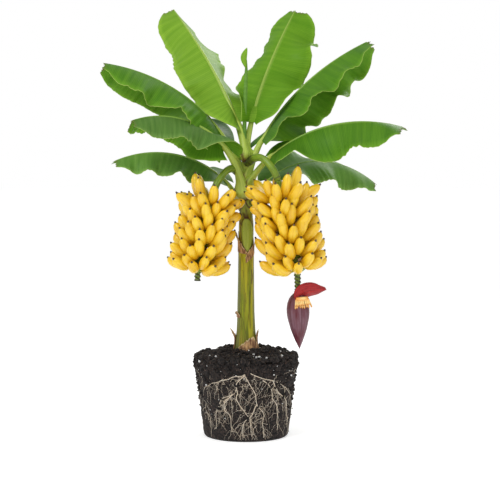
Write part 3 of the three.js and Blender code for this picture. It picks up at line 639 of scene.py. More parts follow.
# %% Leaf measurements
BEND_POWER = 0.85
STALK_RADIUS = (24, 15.5, 11)
LEAVES = {  # a half is its width, folds, wave, waves, phase, curl, foot share and lobe
    1: dict(
        girth=1.5, heading=150.4, swing=-41.5, lean=77.3, droop=52.9, roll=2.8, twist=15.3,
        stalk=169, blade=845, tip=0.36, foot=(5, -12, 1348),
        left=(171, (-35, 70, 51), 27, 1.74, 0.01, 12, 0.4, 80),
        right=(186, (-62, 11, 23), 15, 2.59, -0.56, 22, 0.5, 22)),
    2: dict(
        girth=1.1, heading=45.3, swing=18.2, lean=79.1, droop=38.7, roll=54, twist=-2.4,
        stalk=173, blade=686, tip=0.32, foot=(-5, 11, 1348),
        left=(121, (-53, 47, 69), 48, 1.11, 0.59, 7, 0.91, 25),
        right=(193, (-67, -9, -4), 42, 2.58, 0.2, -25, 0.4, 27)),
    3: dict(
        girth=1.0, heading=182, swing=15.7, lean=74.5, droop=66.9, roll=46.8, twist=-47.1,
        stalk=180, blade=696, tip=0.3, foot=(-22, 10, 1263),
        left=(195, (80, 42, 14), 16, 3.01, -0.36, 38, 0.72, 34),
        right=(175, (-80, 9, 85), 48, 1.29, -0.45, 6, 0.4, 32)),
    4: dict(
        girth=1.2, heading=11.7, swing=-13.5, lean=75.2, droop=49.8, roll=-38.1, twist=50,
        stalk=186, blade=700, tip=0.48, foot=(6, 0, 1246),
        left=(190, (-76, 65, 31), 48, 2.97, -0.34, 40, 0.8, 50),
        right=(161, (44, 47, 14), 16, 3.75, -0.85, 1, 0.7, 10)),
    5: dict(
        girth=1.25, heading=207.7, swing=-0.4, lean=88.9, droop=106.2, roll=50.2, twist=-8.4,
        stalk=270, blade=490, tip=0.44, foot=(-18, -20, 1164),
        left=(144, (-17, 80, 51), 27, 1.45, 0.04, 40, 0.84, 80),
        right=(161, (80, -22, -9), 20, 1.0, 0.98, 24, 0.73, 25)),
    6: dict(
        girth=1.0, heading=-11, swing=-11.9, lean=60.8, droop=76.3, roll=-17, twist=50,
        stalk=179, blade=665, tip=0.52, foot=(16, -14, 1216),
        left=(100, (-57, 18, 40), 25, 2.57, -0.43, 9, 0.56, 50),
        right=(195, (32, 38, -28), 35, 2.07, 0.43, 22, 0.5, 25)),
    7: dict(
        girth=0.9, heading=172.6, swing=22.3, lean=69.1, droop=91.8, roll=-4.8, twist=-22.2,
        stalk=157, blade=550, tip=0.38, foot=(-25, 20, 1110),
        left=(128, (14, 33, 7), 27, 3.3, -0.43, 10, 0.4, 66),
        right=(112, (-28, 32, 35), 20, 2.61, 0.55, 10, 0.61, 53)),
    8: dict(
        girth=0.95, heading=40.1, swing=-30.6, lean=66.4, droop=105.8, roll=-27.3, twist=50,
        stalk=171, blade=614, tip=0.37, foot=(29, 20, 1100),
        left=(138, (-57, -23, 55), 48, 1.64, -0.66, 13, 0.42, 45),
        right=(159, (-1, 27, -3), 18, 2.84, -0.58, 40, 1.0, 25)),
}
longest = max(leaf["stalk"] + leaf["blade"] for leaf in LEAVES.values())
print("leaves:", len(LEAVES), "longest", longest, "mm")


# %% The line of a leaf
def leaf_line(leaf, pieces=80):
    """A function of the share of the leaf's length that gives its place, tangent, side and face."""
    length = leaf["stalk"] + leaf["blade"]

    def heading(share):
        return math.radians(leaf["heading"] + leaf["swing"] * share)

    def tangent(share):
        lean = math.radians(leaf["lean"] - leaf["droop"] * share ** BEND_POWER)
        turn = heading(share)
        return Vector((math.cos(lean) * math.cos(turn), math.cos(lean) * math.sin(turn), math.sin(lean)))

    points = [Vector(leaf["foot"])]
    for i in range(pieces):
        step = (tangent(i / pieces) + tangent((i + 1) / pieces)) * 0.5
        points.append(points[-1] + step * (length / pieces))

    def at(share):
        share = clamp(share)
        i = min(int(share * pieces), pieces - 1)
        place = points[i].lerp(points[i + 1], share * pieces - i)
        ahead = tangent(share)
        level = Vector((-math.sin(heading(share)), math.cos(heading(share)), 0))
        above = ahead.cross(level)
        on_blade = clamp((share * length - leaf["stalk"]) / leaf["blade"])
        roll = math.radians(leaf["roll"] + leaf["twist"] * on_blade)
        side = level * math.cos(roll) + above * math.sin(roll)
        return place, ahead, side, above * math.cos(roll) - level * math.sin(roll)
    return at


# %% One half of a blade, from the midrib to the margin
FOOT_SWELL = 0.22  # share of the blade over which it reaches its full width
TIP_START, TIP_LENGTH, TIP_POWER = 0.62, 0.38, 2.2  # where and how it narrows again


def blade_profile(t, foot, tip):
    swell = foot + (1 - foot) * math.sin(math.pi / 2 * clamp(t / FOOT_SWELL))
    return swell * (1 - (1 - tip) * clamp((t - TIP_START) / TIP_LENGTH) ** TIP_POWER)


def half_across(leaf, half, hand, t, frame, pieces, seed, tears=()):
    width, (foot, middle, tip), wave, waves, phase, curl, foot_share, lobe = half
    place, tangent, side, face = frame
    fold = foot + (middle - foot) * ease(t / 0.25) + (tip - middle) * ease((t - 0.55) / 0.45)
    calm = ease(t / 0.12) * (1 - 0.6 * ease((t - 0.8) / 0.2))
    swing = wave * calm * math.sin(2 * math.pi * (waves * t + phase))
    sweep = math.radians(2 + 14 * t - (lobe + 2) * (1 - ease(t / 0.16)))
    ripple = 18 * uneven(t * 13, hand * 3.1, seed) + 9 * uneven(t * 34, hand * 3.1, seed)
    wobble = 1 + 0.012 * uneven(t * 45, hand, seed)
    torn = sum(depth * math.exp(-((t - where) / length) ** 2) for where, depth, length in tears)
    step = width * blade_profile(t, foot_share, leaf["tip"]) * wobble * (1 - torn) / pieces
    points = [place.copy()]
    for i in range(pieces):
        v = (i + 0.5) / pieces
        angle = math.radians(fold + curl * v + swing * v + ripple * v * v * calm)
        out = side * (hand * math.cos(angle)) - face * math.sin(angle)
        points.append(points[-1] + (out * math.cos(sweep) + tangent * math.sin(sweep)) * step)
    return points


# %% Blades
BLADE_ROWS = 190
HALF_COLUMNS = 15
BLADE_SKIN = 1.4
NOTCHES = {2: ((0.6, 0.04, 0.02),), 5: ((0.5, 0.04, 0.016),)}  # where, how deep and how long
# Leaves 7 and 8 take the lighter copy, which paints light onto leaves that lie in shade.
LEAF_TOPS = {1: LEAF_TOP_YOUNG, 2: LEAF_TOP_MIDDLE, 5: LEAF_TOP_OLD, 7: LEAF_TOP_LIGHTENED, 8: LEAF_TOP_LIGHTENED}


def leaf_blade(number, leaf):
    line = leaf_line(leaf)
    length = leaf["stalk"] + leaf["blade"]
    tears = NOTCHES.get(number, ())
    rows = []
    for j in range(BLADE_ROWS + 1):
        t = j / BLADE_ROWS
        frame = line((leaf["stalk"] + leaf["blade"] * t) / length)
        left = half_across(leaf, leaf["left"], 1, t, frame, HALF_COLUMNS, number)
        right = half_across(leaf, leaf["right"], -1, t, frame, HALF_COLUMNS, number, tears)
        row = left[:0:-1] + right
        end = ease((t - 0.93) / 0.07)
        for i, point in enumerate(row):
            u = i / (2 * HALF_COLUMNS)
            ragged = 15 * uneven(u * 9, number, 0) + 12 * uneven(u * 31, number, 5)
            row[i] = point + frame[1] * (ragged * end)
        rows.append(row)
    bm = sheet_blank(2 * HALF_COLUMNS, BLADE_ROWS)
    for vertex in bm.verts:
        vertex.co = rows[round(vertex.co.y * BLADE_ROWS)][round(vertex.co.x * 2 * HALF_COLUMNS)]
    materials = (LEAF_TOPS.get(number, LEAF_TOP), LEAF_UNDER)
    finish_piece(f"leaf_{number}_skin", bm, materials, (f"leaf_{number}_blade",), BLADE_SKIN)


for number, leaf in LEAVES.items():
    leaf_blade(number, leaf)

# %% [markdown]
# ## Leaf stalks and midribs
# The stalk is a channel with two raised edges, wide where it clasps the stem. It goes on under the
# blade as the midrib, which gets thinner towards the tip. One rod does both: the groove is cut by
# drawing in its radius along the top, and its centre sinks below the blade once the blade begins.


# %% Stalks
def stalk_radius(part):
    if part < 0.25:
        return mix(STALK_RADIUS[0], STALK_RADIUS[1], ease(part / 0.25))
    return mix(STALK_RADIUS[1], STALK_RADIUS[2], (part - 0.25) / 0.75)


CLASP = 0.06  # share of the rod that runs down into the stem below the stalk's foot
CLASP_LENGTH = 45
GREEN_RIB = {1: 0.5, 2: 0.55}  # how far the midrib takes the blade's green, where it stays pale
RIB_GIRTH = {1: 1.25, 2: 1.0}
RIM_REACH = {5: 0.2}  # share of the rod along which the raised edges are dried brown


def leaf_stalk(number, leaf):
    line = leaf_line(leaf)
    stalk_share = leaf["stalk"] / (leaf["stalk"] + leaf["blade"])

    def place(height, angle, rim):
        share = clamp((height - CLASP) / (1 - CLASP))
        below = 1 - clamp(height / CLASP)
        centre, tangent, side, face = line(share)
        part = share / stalk_share
        on_blade = clamp((share - stalk_share) / (1 - stalk_share))
        radius = stalk_radius(part) if part < 1 else mix(STALK_RADIUS[2], 1.5, on_blade ** 0.6)
        radius *= mix(leaf["girth"], RIB_GIRTH.get(number, 1), ease(on_blade * 3))
        groove = mix(0.5, 0.16, ease(part)) * math.exp(-(angle / 0.5) ** 2)
        wide = mix(1.5, 1.0, ease(part / 0.5))
        sunk = 0.5 * radius * ease((part - 0.9) / 0.2)
        sink = ease(below)
        inward = 1 - 0.25 * sink
        centre = Vector((centre.x * inward, centre.y * inward, centre.z - CLASP_LENGTH * below))
        radius *= (1 - below) ** 0.6 if below < 1 else 0.01
        return (centre - face * sunk + face * (radius * (1 - groove) * math.cos(angle))
                - side * (radius * wide * math.sin(angle)))

    def edge(height, angle):
        rim = math.exp(-((abs(math.sin(angle)) - 1) / 0.05) ** 2)
        low = 1 - ease((height - CLASP) / RIM_REACH.get(number, 0.03))
        return clamp(0.9 * rim * low + ease((0.045 - height) / 0.025))

    def tint(height, angle):
        return GREEN_RIB.get(number, 0.9) * ease((height - CLASP) / (1 - CLASP) / stalk_share - 0.9)

    bm = warp(rod_blank(16, 130), place, edge=edge, tint=tint)
    finish_piece(f"leaf_{number}_rib", bm, (STALK,), (f"leaf_{number}_stalk",))


for number, leaf in LEAVES.items():
    leaf_stalk(number, leaf)

# %% [markdown]
# ## Rolled young leaf
# The next leaf stands in the middle, still rolled into a spear. Its top has begun to open on one
# side. A flat blade could be rolled up, but nearly all of it would be hidden. So a slim rod makes the
# spear, with a lip that winds round it where the margin lies, and a small sheet makes the open part.


# %% Rolled leaf
def rolled_leaf():
    foot, tip = Vector((-8, -2, 1350)), Vector((3, 4, 1800))
    steps = 60
    frames = smooth_line([foot, foot.lerp(tip, 0.5) + Vector((-3, 2, 0)), tip], steps)
    radii = (11, 10.5, 10, 9.6, 9.2, 9, 8.8, 8.2, 7.4, 2)

    def place(share, angle, rim):
        centre = frames[round(share * steps)][0]
        lip = 1.6 * math.exp(-(((angle - share * 5) % (2 * math.pi) - math.pi) / 0.35) ** 2)
        return centre + around(1, angle) * (spread(radii, share) + lip)

    spear = warp(rod_blank(20, steps), place)
    finish_piece("rolled_leaf_spear", spear, (LEAF_TOP_LIGHTENED,), ("rolled_leaf",))
    flap = sheet_blank(10, 24)
    for vertex in flap.verts:
        side, share = 2 * vertex.co.x - 1, vertex.co.y
        half = 15 * math.sin(math.pi * mix(0.12, 1.0, share) ** 1.3) ** 0.8
        centre = Vector((mix(0, 5, share) - 13 * math.sin(math.pi * share), 0, mix(1762, 1858, share)))
        vertex.co = centre + Vector((side * half, -4 - 7 * (1 - side * side) * (1 - share), 0))
    finish_piece("rolled_leaf_flap", flap, (LEAF_TOP_YOUNG,), (), BLADE_SKIN)


rolled_leaf()

# %% [markdown]
# ## Pseudostem
# What looks like a trunk is a tight roll of leaf sheaths. Each sheath wraps right round the stem near
# the ground and narrows to its own stalk at the top, so its edges cross the stem as a V. Where old
# sheaths end, a ragged brown rim runs round the stem. The edges are lines drawn on the stem by the
# degrees from its front and the height. The rule adds a sheath's thickness below its rim, and marks
# the edges for the material, which browns and dries them. One wide dark line down the right side of
# the stem is drawn the same way, but it is painted shade.

# %% Stem measurements
STEM_FOOT = 405
STEM_HEIGHT = 951
STEM_PROFILE = ((0, 60), (28, 56), (95, 47), (190, 42), (400, 38), (600, 35), (720, 29), (830, 26), (951, 21))
OLD_RIM = ((-180, 1010), (-130, 975), (-90, 985), (-42, 931), (8, 883),
           (69, 922), (95, 945), (140, 1000), (180, 1010))
YOUNG_RIM = ((-180, 1120), (-120, 1090), (-42, 1012), (-30, 1036), (-14, 1047),
             (20, 1047), (45, 1034), (69, 1004), (120, 1070), (180, 1120))
EDGES = (  # each edge: half its width in millimetres, how dark it is, and its line
    (3.4, 1.0, OLD_RIM),
    (4.4, 0.95, YOUNG_RIM),
    (3.6, 0.9, ((-44, 1016), (-40, 960), (-26, 915), (4, 880))),
    (3.2, 0.85, ((69, 1010), (70, 960), (48, 915), (8, 880))),
    (1.2, 0.45, ((-41, 870), (-41, 740), (-40, 640), (-45, 598))),
    (2.0, 0.5, ((-46, 596), (-19, 557), (-2, 496))),
    (2.4, 0.6, ((56, 700), (54, 560), (46, 470))),
    (3.0, 0.9, ((42, 800), (50, 770), (44, 735))),
    (1.4, 0.6, ((-3, 690), (2, 640))),
    (4.0, 1.0, ((-20, 1180), (-26, 1150), (-6, 1126), (22, 1100))),
    (1.8, 0.8, ((30, 1200), (38, 1160), (14, 1128))),
    (1.4, 0.5, ((150, 860), (158, 640))),
    (1.6, 0.6, ((-150, 1000), (-128, 860), (-140, 700))),
    (1.6, 0.6, ((118, 720), (140, 560), (170, 470))),
    # This wide one is painted shade down the right side of the stem, not a sheath edge.
    (6.0, 0.6, ((74, 840), (76, 405))),
    (2.6, 0.35, ((-16, 830), (-12, 600))),
    (2.2, 0.4, ((24, 700), (30, 520))),
    (1.6, 0.5, ((40, 850), (34, 640))),
    (2.0, 0.4, ((-28, 560), (-30, 430))))
MM_PER_DEGREE = 0.65
OLD_SHEATH, OLD_FADE = 2.4, 220  # how thick a sheath is at its rim, and how far down it fades out
YOUNG_SHEATH, YOUNG_FADE = 1.6, 60
FLAP_EDGE = -41  # the left flap's edge, in degrees from the front
FLAP_TOP, FLAP_FOOT = 870, 560
TORN_FOOT, TORN_TOP = 1046, 1112  # the torn, browned band


def stem_radius(z):
    return read_line(STEM_PROFILE, z - STEM_FOOT)


def line_distance(turn, z, line):
    """The distance in millimetres along the stem from a point to a line of (degrees, height) points."""
    near = 99.0
    for (turn_0, z_0), (turn_1, z_1) in zip(line, line[1:]):
        if not min(z_0, z_1) - 20 < z < max(z_0, z_1) + 20:
            continue
        across, rise = (turn_1 - turn_0) * MM_PER_DEGREE, z_1 - z_0
        x, y = (turn - turn_0) * MM_PER_DEGREE, z - z_0
        share = clamp((x * across + y * rise) / (across ** 2 + rise ** 2))
        near = min(near, math.hypot(x - share * across, y - share * rise))
    return near


# %% Stem
def from_front(angle):
    return (math.degrees(angle) + 90 + 180) % 360 - 180


def torn_band(z):
    return ease((z - TORN_FOOT) / 8) * (1 - ease((z - TORN_TOP) / 40))


def stem():
    def height(share):
        return STEM_FOOT + STEM_HEIGHT * share

    def below(rim, turn, z, depth):
        """1 just below a rim, fading to nothing at the given depth."""
        drop = read_line(rim, turn) - z
        return ease(drop / 3 + 0.5) * (1 - ease((drop - 40) / depth))

    def place(share, angle, rim):
        z, turn = height(share), from_front(angle)
        relief = OLD_SHEATH * below(OLD_RIM, turn, z, OLD_FADE)
        relief += YOUNG_SHEATH * below(YOUNG_RIM, turn, z, YOUNG_FADE)
        left = ease((FLAP_EDGE - turn) / 3 + 0.5) * ease((turn + 150) / 20)
        left = left * ease((FLAP_TOP - z) / 60) * ease((z - FLAP_FOOT) / 60)
        lump = 1.3 * noise.noise(around(1.4, angle, z / 260)) + 0.5 * noise.noise(around(5, angle, z / 90))
        torn = 1.6 * ease((z - 1050) / 20) * (1 - ease((z - 1120) / 30))
        torn *= noise.noise(around(3, angle, z / 15))
        radius = stem_radius(z) - 1.2 + relief + left + lump + torn
        return around(radius, angle, z)

    # Brown sheath edges, and one wide line of painted shade down the right side.
    def edge(share, angle):
        z, turn = height(share), from_front(angle)
        ragged = 0.75 + 0.6 * (0.5 + uneven(z / 12, turn / 9, 4.0))
        brown = max(dark * math.exp(-(line_distance(turn, z, line) / (width * ragged)) ** 2)
                    for width, dark, line in EDGES)
        patch = noise.noise(around(2.2, angle, z / 22))
        return clamp(brown + 0.8 * torn_band(z) * clamp(0.1 + 2.8 * patch))

    def tint(share, angle):
        z, turn = height(share), from_front(angle)
        inner = ease((read_line(YOUNG_RIM, turn) - z) / 4) * ease((z - read_line(OLD_RIM, turn)) / 4)
        return clamp(inner * (1 - ease((abs(turn - 14) - 48) / 8)) + 0.7 * ease((z - 1056) / 30))

    def grey(share, angle):
        z, turn = height(share), from_front(angle)
        side = ease((FLAP_EDGE - turn) / 4 + 0.5) * ease((turn + 120) / 20)
        return clamp(side * ease((880 - z) / 40) + 0.5 * torn_band(z))

    bm = warp(rod_blank(110, 270), place, edge=edge, tint=tint, grey=grey)
    finish_piece("stem_sheaths", bm, (STEM,), ("pseudostem",))


stem()

# %% [markdown]
# ## Dried sheath ends
# Old leaves are cut or fall, and the ends of their sheaths dry to brown paper. They clasp the stem
# along their foot, follow the rim of the sheath, and curl away from the stem at one torn corner.
# Each is a sheet whose columns run round the stem and whose rows run up it, so that the curl is only
# a matter of how far each vertex stands off. A Solidify modifier gives it the thickness of paper.

# %% Dried sheaths
# Each end: its turns from the front in degrees, then at both of them the height of its foot, the
# height of its top, and how far the top stands off.
DRIED_ENDS = (
    ((-150, -70), (404, 404), (452, 520), (4, 34)), ((62, 150), (404, 404), (516, 446), (18, 4)),
    ((-36, 64), (404, 404), (446, 492), (4, 3)), ((-104, 6), (890, 874), (992, 890), (22, 2)),
    ((-2, 98), (832, 886), (884, 948), (2, 18)), ((-86, -40), (572, 568), (604, 592), (8, 3)))
PAPER_GAP = 3.4  # how far the dried paper lies off the stem's even surface


def dried_end(number, turns, feet, tops, flares):
    bm = sheet_blank(26, 18)
    for vertex in bm.verts:
        side, share = vertex.co.x, vertex.co.y
        turn = mix(*turns, side)
        low, high = mix(*feet, side), mix(*tops, side)
        to_corner = side if flares[1] > flares[0] else 1 - side
        taper = math.sin(math.pi * mix(0.04, 0.96, side)) ** 0.35
        taper = mix(taper, 1, ease(to_corner * 2 - 1)) if max(flares) > 10 else taper
        ragged = 1 + 0.22 * uneven(side * 6, number, 0) + 0.1 * uneven(side * 19, number, 2)
        z = mix(low, low + (high - low) * ragged, share * taper)
        crease = 1.8 * uneven(side * 9, share * 1.2, number)
        flare = mix(min(flares), max(flares), to_corner ** 3) * share ** 5
        radius = stem_radius(z) + PAPER_GAP + flare + crease * (0.2 + share)
        angle = math.radians(turn - 90)
        vertex.co = around(radius, angle, z)
    finish_piece(f"dried_end_{number}", bm, (DRIED,), (f"dried_sheath_{number}",), 1.6)


for number, shape in enumerate(DRIED_ENDS, 1):
    dried_end(number, *shape)

# %% [markdown]
# ## Fruit stalks
# Each bunch hangs from a thick stalk that comes out between the leaves, arches over and turns down
# under the weight. It is ringed by the scars of fallen bracts, and it is dark and corky where it
# leaves the stem. Below the last hand it goes on as a thinner stalk, knobbed by closer scars. A
# bevelled curve would give a tube as well, but the rings of a rod can also swell and carry the scars.

# %% Bunch measurements
BUNCHES = {  # outward is the heading of the side away from the stem
    1: dict(
        stalk=((-16, 0, 1240), (-62, -36, 1282), (-98, -78, 1268), (-132, -110, 1224), (-152, -125, 1178)),
        axis_foot=Vector((-229, -130, 756)), first_hand=1098, spacing=56, turn=10, outward=180,
        fruit=0.92, ring=0.93),
    2: dict(
        stalk=((4, -14, 1310), (45, -78, 1335), (76, -122, 1333), (107, -150, 1308), (133, -162, 1271),
               (150, -164, 1229)),
        axis_foot=Vector((246, -112, 694)), first_hand=1130, spacing=62.5, turn=22, outward=0,
        fruit=1.03, ring=0.95),
}
FRUIT_STALK_RADIUS = (19.5, 19, 17.5, 16)
AXIS_RADIUS = (16, 17, 15.5, 12)
SCAR_GAP = 18


# %% Fruit stalks and bunch axes
def axis_frames(bunch, steps=120):
    head, before = Vector(bunch["stalk"][-1]), Vector(bunch["stalk"][-2])
    foot = bunch["axis_foot"]
    start = head + (head - before).normalized() * 0.3
    hang = Vector((mix(head.x, foot.x, 0.22), mix(head.y, foot.y, 0.4), mix(head.z, foot.z, 0.3)))
    low = Vector((mix(head.x, foot.x, 0.9), mix(head.y, foot.y, 0.8), mix(head.z, foot.z, 0.75)))
    return smooth_line([start, hang, low, foot], steps)


def fruit_stalk(number, bunch):
    frames = smooth_line(bunch["stalk"], 90)

    def scar(share, angle):
        ring = math.exp(-((share - bunch["ring"] - 0.012 * math.sin(angle)) / 0.008) ** 2)
        corky = (1 - ease((share - 0.2) / 0.14)) * (0.75 + 0.5 * uneven(angle, share * 20, number))
        return clamp(ring + corky)

    def radius(share, angle):
        swell = 1 + 0.05 * math.sin(share * 9) + 0.03 * noise.noise(around(1, angle, share * 6))
        ring = math.exp(-((share - bunch["ring"]) / 0.02) ** 2)
        return spread(FRUIT_STALK_RADIUS, share) * (swell - 0.03) + 1.4 * ring

    bm = warp(rod_blank(24, 90), tube_rule(frames, radius), edge=scar)
    finish_piece(f"bunch_{number}_arch", bm, (FRUIT_STALK,), (f"bunch_{number}_stalk",))


def bunch_axis(number, bunch):
    steps = 150
    frames = axis_frames(bunch, steps)
    length = sum((frames[i + 1][0] - frames[i][0]).length for i in range(steps))

    def knob(share, angle):
        below = (share - 0.72) * length
        if below < 0:
            return 0.0
        return 0.5 + 0.5 * math.cos(2 * math.pi * (below / SCAR_GAP + angle / math.pi))

    def radius(share, angle):
        return spread(AXIS_RADIUS, share) + 4.6 * knob(share, angle) ** 3 - 0.6

    def scar(share, angle):
        cut = ease((share - 0.985) / 0.012) if number == 1 else 0.0
        return clamp(0.3 * ease((share - 0.7) / 0.04) + 0.8 * knob(share, angle) ** 3 + cut)

    bm = warp(rod_blank(20, steps), tube_rule(frames, radius), edge=scar)
    finish_piece(f"bunch_{number}_core", bm, (FRUIT_STALK,), (f"bunch_{number}_axis",))


for number, bunch in BUNCHES.items():
    fruit_stalk(number, bunch)
    bunch_axis(number, bunch)

# %% [markdown]
# ## Hands of fruit
# Fruits grow in hands, and each hand has two rows that share one cushion on the axis. A fruit leaves
# the cushion sideways and bends up towards the light, so the tips of a hand lie over the feet of the
# hand above. A fruit is nearly round, with five soft ridges, a short neck and a blunt dried tip.
# One small mesh serves all fruits: each copy is bent by its own slopes, and each hand is one piece.

# %% Hands
HANDS = 6
HAND_FRUITS = 15
FRUIT_RADIUS = 25
FRUIT_LENGTH = 158
CUSHION_RADIUS = 42
CUSHION_HEIGHT = 34
# slopes of the fruits of each hand where they leave the cushion and at their tips, in degrees
HAND_SLOPES = ((0, 78), (-4, 76), (-6, 75), (-8, 72), (-12, 66), (-17, 50))
OUTER_STEEPER = (26, 6, 0, 0, 0, 0)  # degrees that the upper fruits away from the stem stand up more
OUTER_FLATTER = (26, 8, 0, 0, 0, 0)  # degrees that the lower ones bend up less
INNER_FLATTER = (44, 38, 14, 6, 0, 0)  # and the fruits towards the stem
HAND_REACH = (1.02, 1.0, 1.0, 1.0, 0.96, 0.88)
OUTER_REACH = (0.2, 0.1, 0.03, -0.03, -0.04, -0.02)  # how much longer or shorter on either side
INNER_REACH = (-0.06, -0.1, -0.06, 0.08, 0.22, 0.14)
HAND_TILT = (0, 3, 6, 8, 10, 15)  # how far a hand rises to its outer side
FRUIT_STATIONS = (0, 0.1, 0.19, 0.3, 0.45, 0.64, 0.8, 0.9, 0.945, 0.965, 1)
FRUIT_GIRTH = ((0, 0.36), (0.1, 0.3), (0.19, 0.5), (0.3, 0.82), (0.45, 0.99), (0.64, 1),
               (0.8, 0.88), (0.9, 0.58), (0.945, 0.27), (0.965, 0.19), (1, 0.14))
fruit_shape = template(rod_blank(10, len(FRUIT_STATIONS) - 1, FRUIT_STATIONS), "fruit_shape")


def fruit_rule(centre, heading, slopes, length, girth):
    """Where the points of a fruit go: it leaves its centre at one slope and ends at another."""
    steps = 24
    flat = Vector((math.cos(heading), math.sin(heading), 0))
    side = Vector((-math.sin(heading), math.cos(heading), 0))
    up = Vector((0, 0, 1))
    line = [centre + flat * (0.6 * CUSHION_RADIUS)]
    for i in range(steps):
        slope = math.radians(mix(*slopes, ((i + 0.5) / steps) ** 0.8))
        line.append(line[-1] + (flat * math.cos(slope) + up * math.sin(slope)) * (length / steps))

    def place(share, angle, rim):
        slope = math.radians(mix(*slopes, clamp(share) ** 0.8))
        out = flat * math.sin(slope) - up * math.cos(slope)
        at = clamp(share) * steps
        i = min(int(at), steps - 1)
        radius = girth * read_line(FRUIT_GIRTH, share) * (1 + 0.06 * math.cos(5 * angle))
        middle = line[i].lerp(line[i + 1], at - i)
        return middle + out * (radius * math.cos(angle)) - side * (radius * math.sin(angle))
    return place


def hand_of_fruit(number, bunch, index):
    rng = random.Random(100 * number + index)
    z = bunch["first_hand"] - bunch["spacing"] * index
    centre, way = min(axis_frames(bunch), key=lambda frame: abs(frame[0].z - z))[:2]
    start, end = HAND_SLOPES[index]

    def cushion(height, angle, rim):
        radius = CUSHION_RADIUS * (0.62 + 0.38 * math.sin(math.pi * height))
        return centre + way * (CUSHION_HEIGHT * (height - 0.5)) + around(1, angle) * radius

    bm = warp(rod_blank(18, 8), cushion)
    for face in bm.faces:
        face.material_index = 1
    for i in range(HAND_FRUITS):
        row = i % 2
        place = (i + 0.5 * (index % 2)) * 360 / HAND_FRUITS
        heading = math.radians(place + bunch["turn"] + rng.uniform(-6, 6))
        slopes = (start + 18 * row + rng.uniform(-5, 5), end + 6 * row - rng.uniform(-3, 10))
        outward = math.cos(heading - math.radians(bunch["outward"]))
        outer, inner = max(outward, 0), max(-outward, 0)
        steeper = OUTER_STEEPER[index] * outer * row
        flatter = OUTER_FLATTER[index] * outer * (1 - row) + INNER_FLATTER[index] * inner
        slopes = (slopes[0] + steeper, slopes[1] + 0.3 * steeper - flatter)
        reach = FRUIT_LENGTH * bunch["fruit"] * HAND_REACH[index]
        reach *= 1 + OUTER_REACH[index] * outer + INNER_REACH[index] * inner
        root = centre + Vector((0, 0, 8 * row + HAND_TILT[index] * outward))
        length, girth = reach * rng.uniform(0.92, 1.06), FRUIT_RADIUS * rng.uniform(0.93, 1.05)
        add_copy(bm, fruit_shape, fruit_rule(root, heading, slopes, length, girth))
    name = f"bunch_{number}_fruits_{index + 1}"
    finish_piece(name, bm, (FRUIT, FRUIT_STALK), (f"bunch_{number}_hand_{index + 1}",))


for number, bunch in BUNCHES.items():
    for index in range(HANDS):
        hand_of_fruit(number, bunch, index)

# %% [markdown]
# ## Flower
# The flower bud hangs from the end of the second bunch's stalk. It is a cone of tight purple bracts,
# each lapping the next. The outermost one has lifted, and under it stand two rows of male flowers.
# The bud is one rod with a low step and a line where each of four bracts ends, since their edges
# stand up by only about a millimetre. The lifted one is a sheet bent along its spine.

# %% Bud
BUD_TOP, BUD_TIP = Vector((243, -112, 699)), Vector((254, -116, 431))
BUD_RADIUS = 53.5
BUD_GIRTH = ((0, 0.14), (0.012, 0.36), (0.05, 0.56), (0.1, 0.74), (0.18, 0.91), (0.28, 1),
             (0.36, 1), (0.45, 0.95), (0.65, 0.7), (0.84, 0.36), (0.93, 0.17), (1, 0.015))
BUD_BRACTS = ((-150, 0.97), (-60, 0.9), (45, 1.0), (140, 0.94))  # heading of each bract and where it ends


def bud_cover(share, angle, heading, end):
    away = abs((math.degrees(angle) - heading + 180) % 360 - 180)
    reach = 78 * clamp((end - share) / 0.22) ** 0.6 if share < end else -10
    return reach - away


def bud():
    way = (BUD_TIP - BUD_TOP).normalized()
    length = (BUD_TIP - BUD_TOP).length
    side = Vector((1, 0, 0))
    side = (side - way * side.dot(way)).normalized()
    other = side.cross(way)

    def place(share, angle, rim):
        relief = sum(1.1 * ease(bud_cover(share, angle, *bract) / 5 + 0.5) for bract in BUD_BRACTS)
        girth = BUD_RADIUS * read_line(BUD_GIRTH, share) * 0.97
        radius = girth + relief * ease(share / 0.1) * (1 - share ** 6)
        middle = BUD_TOP + way * (share * length)
        return middle + side * (radius * math.cos(angle)) + other * (radius * math.sin(angle))

    def edge(share, angle):
        return max(math.exp(-((bud_cover(share, angle, *bract) - 1) / 2.6) ** 2) for bract in BUD_BRACTS)

    bm = warp(rod_blank(64, 70), place, edge=edge)
    finish_piece("bud_bracts", bm, (BUD,), ("flower_bud",))


bud()

# %% Lifted bract
BRACT_SPINE = ((243, -128, 657), (262, -138, 692), (298, -142, 707), (342, -138, 708), (380, -126, 713))
BRACT_WIDTH = 90
BRACT_ROLL = 56  # degrees that the spoon's width is turned up from level


def lifted_bract():
    rows = 36
    frames = smooth_line(BRACT_SPINE, rows)
    bm = sheet_blank(20, rows)
    level = Vector((0, 1, 0))
    for vertex in bm.verts:
        side, share = 2 * vertex.co.x - 1, vertex.co.y
        centre, tangent = frames[round(share * rows)][:2]
        roll = math.radians(mix(20, BRACT_ROLL, ease(share / 0.4)))
        above = tangent.cross(level) * -1
        across = level * math.cos(roll) + above * math.sin(roll)
        outward = tangent.cross(across) * -1
        half = BRACT_WIDTH / 2 * math.sin(math.pi * mix(0.2, 0.985, share)) ** 0.7
        vertex.co = centre + across * (side * half) - outward * (15 * side * side * ease(share / 0.2))
    finish_piece("bract_spoon", bm, (BRACT_OUT, BRACT_IN), ("bract",), 3)


lifted_bract()


# %% Male flowers
FLOWER_RADII = (4.6, 4.8, 4.4, 4.0, 4.4, 4.6, 3.0)
FLOWER_STEPS = len(FLOWER_RADII) - 1


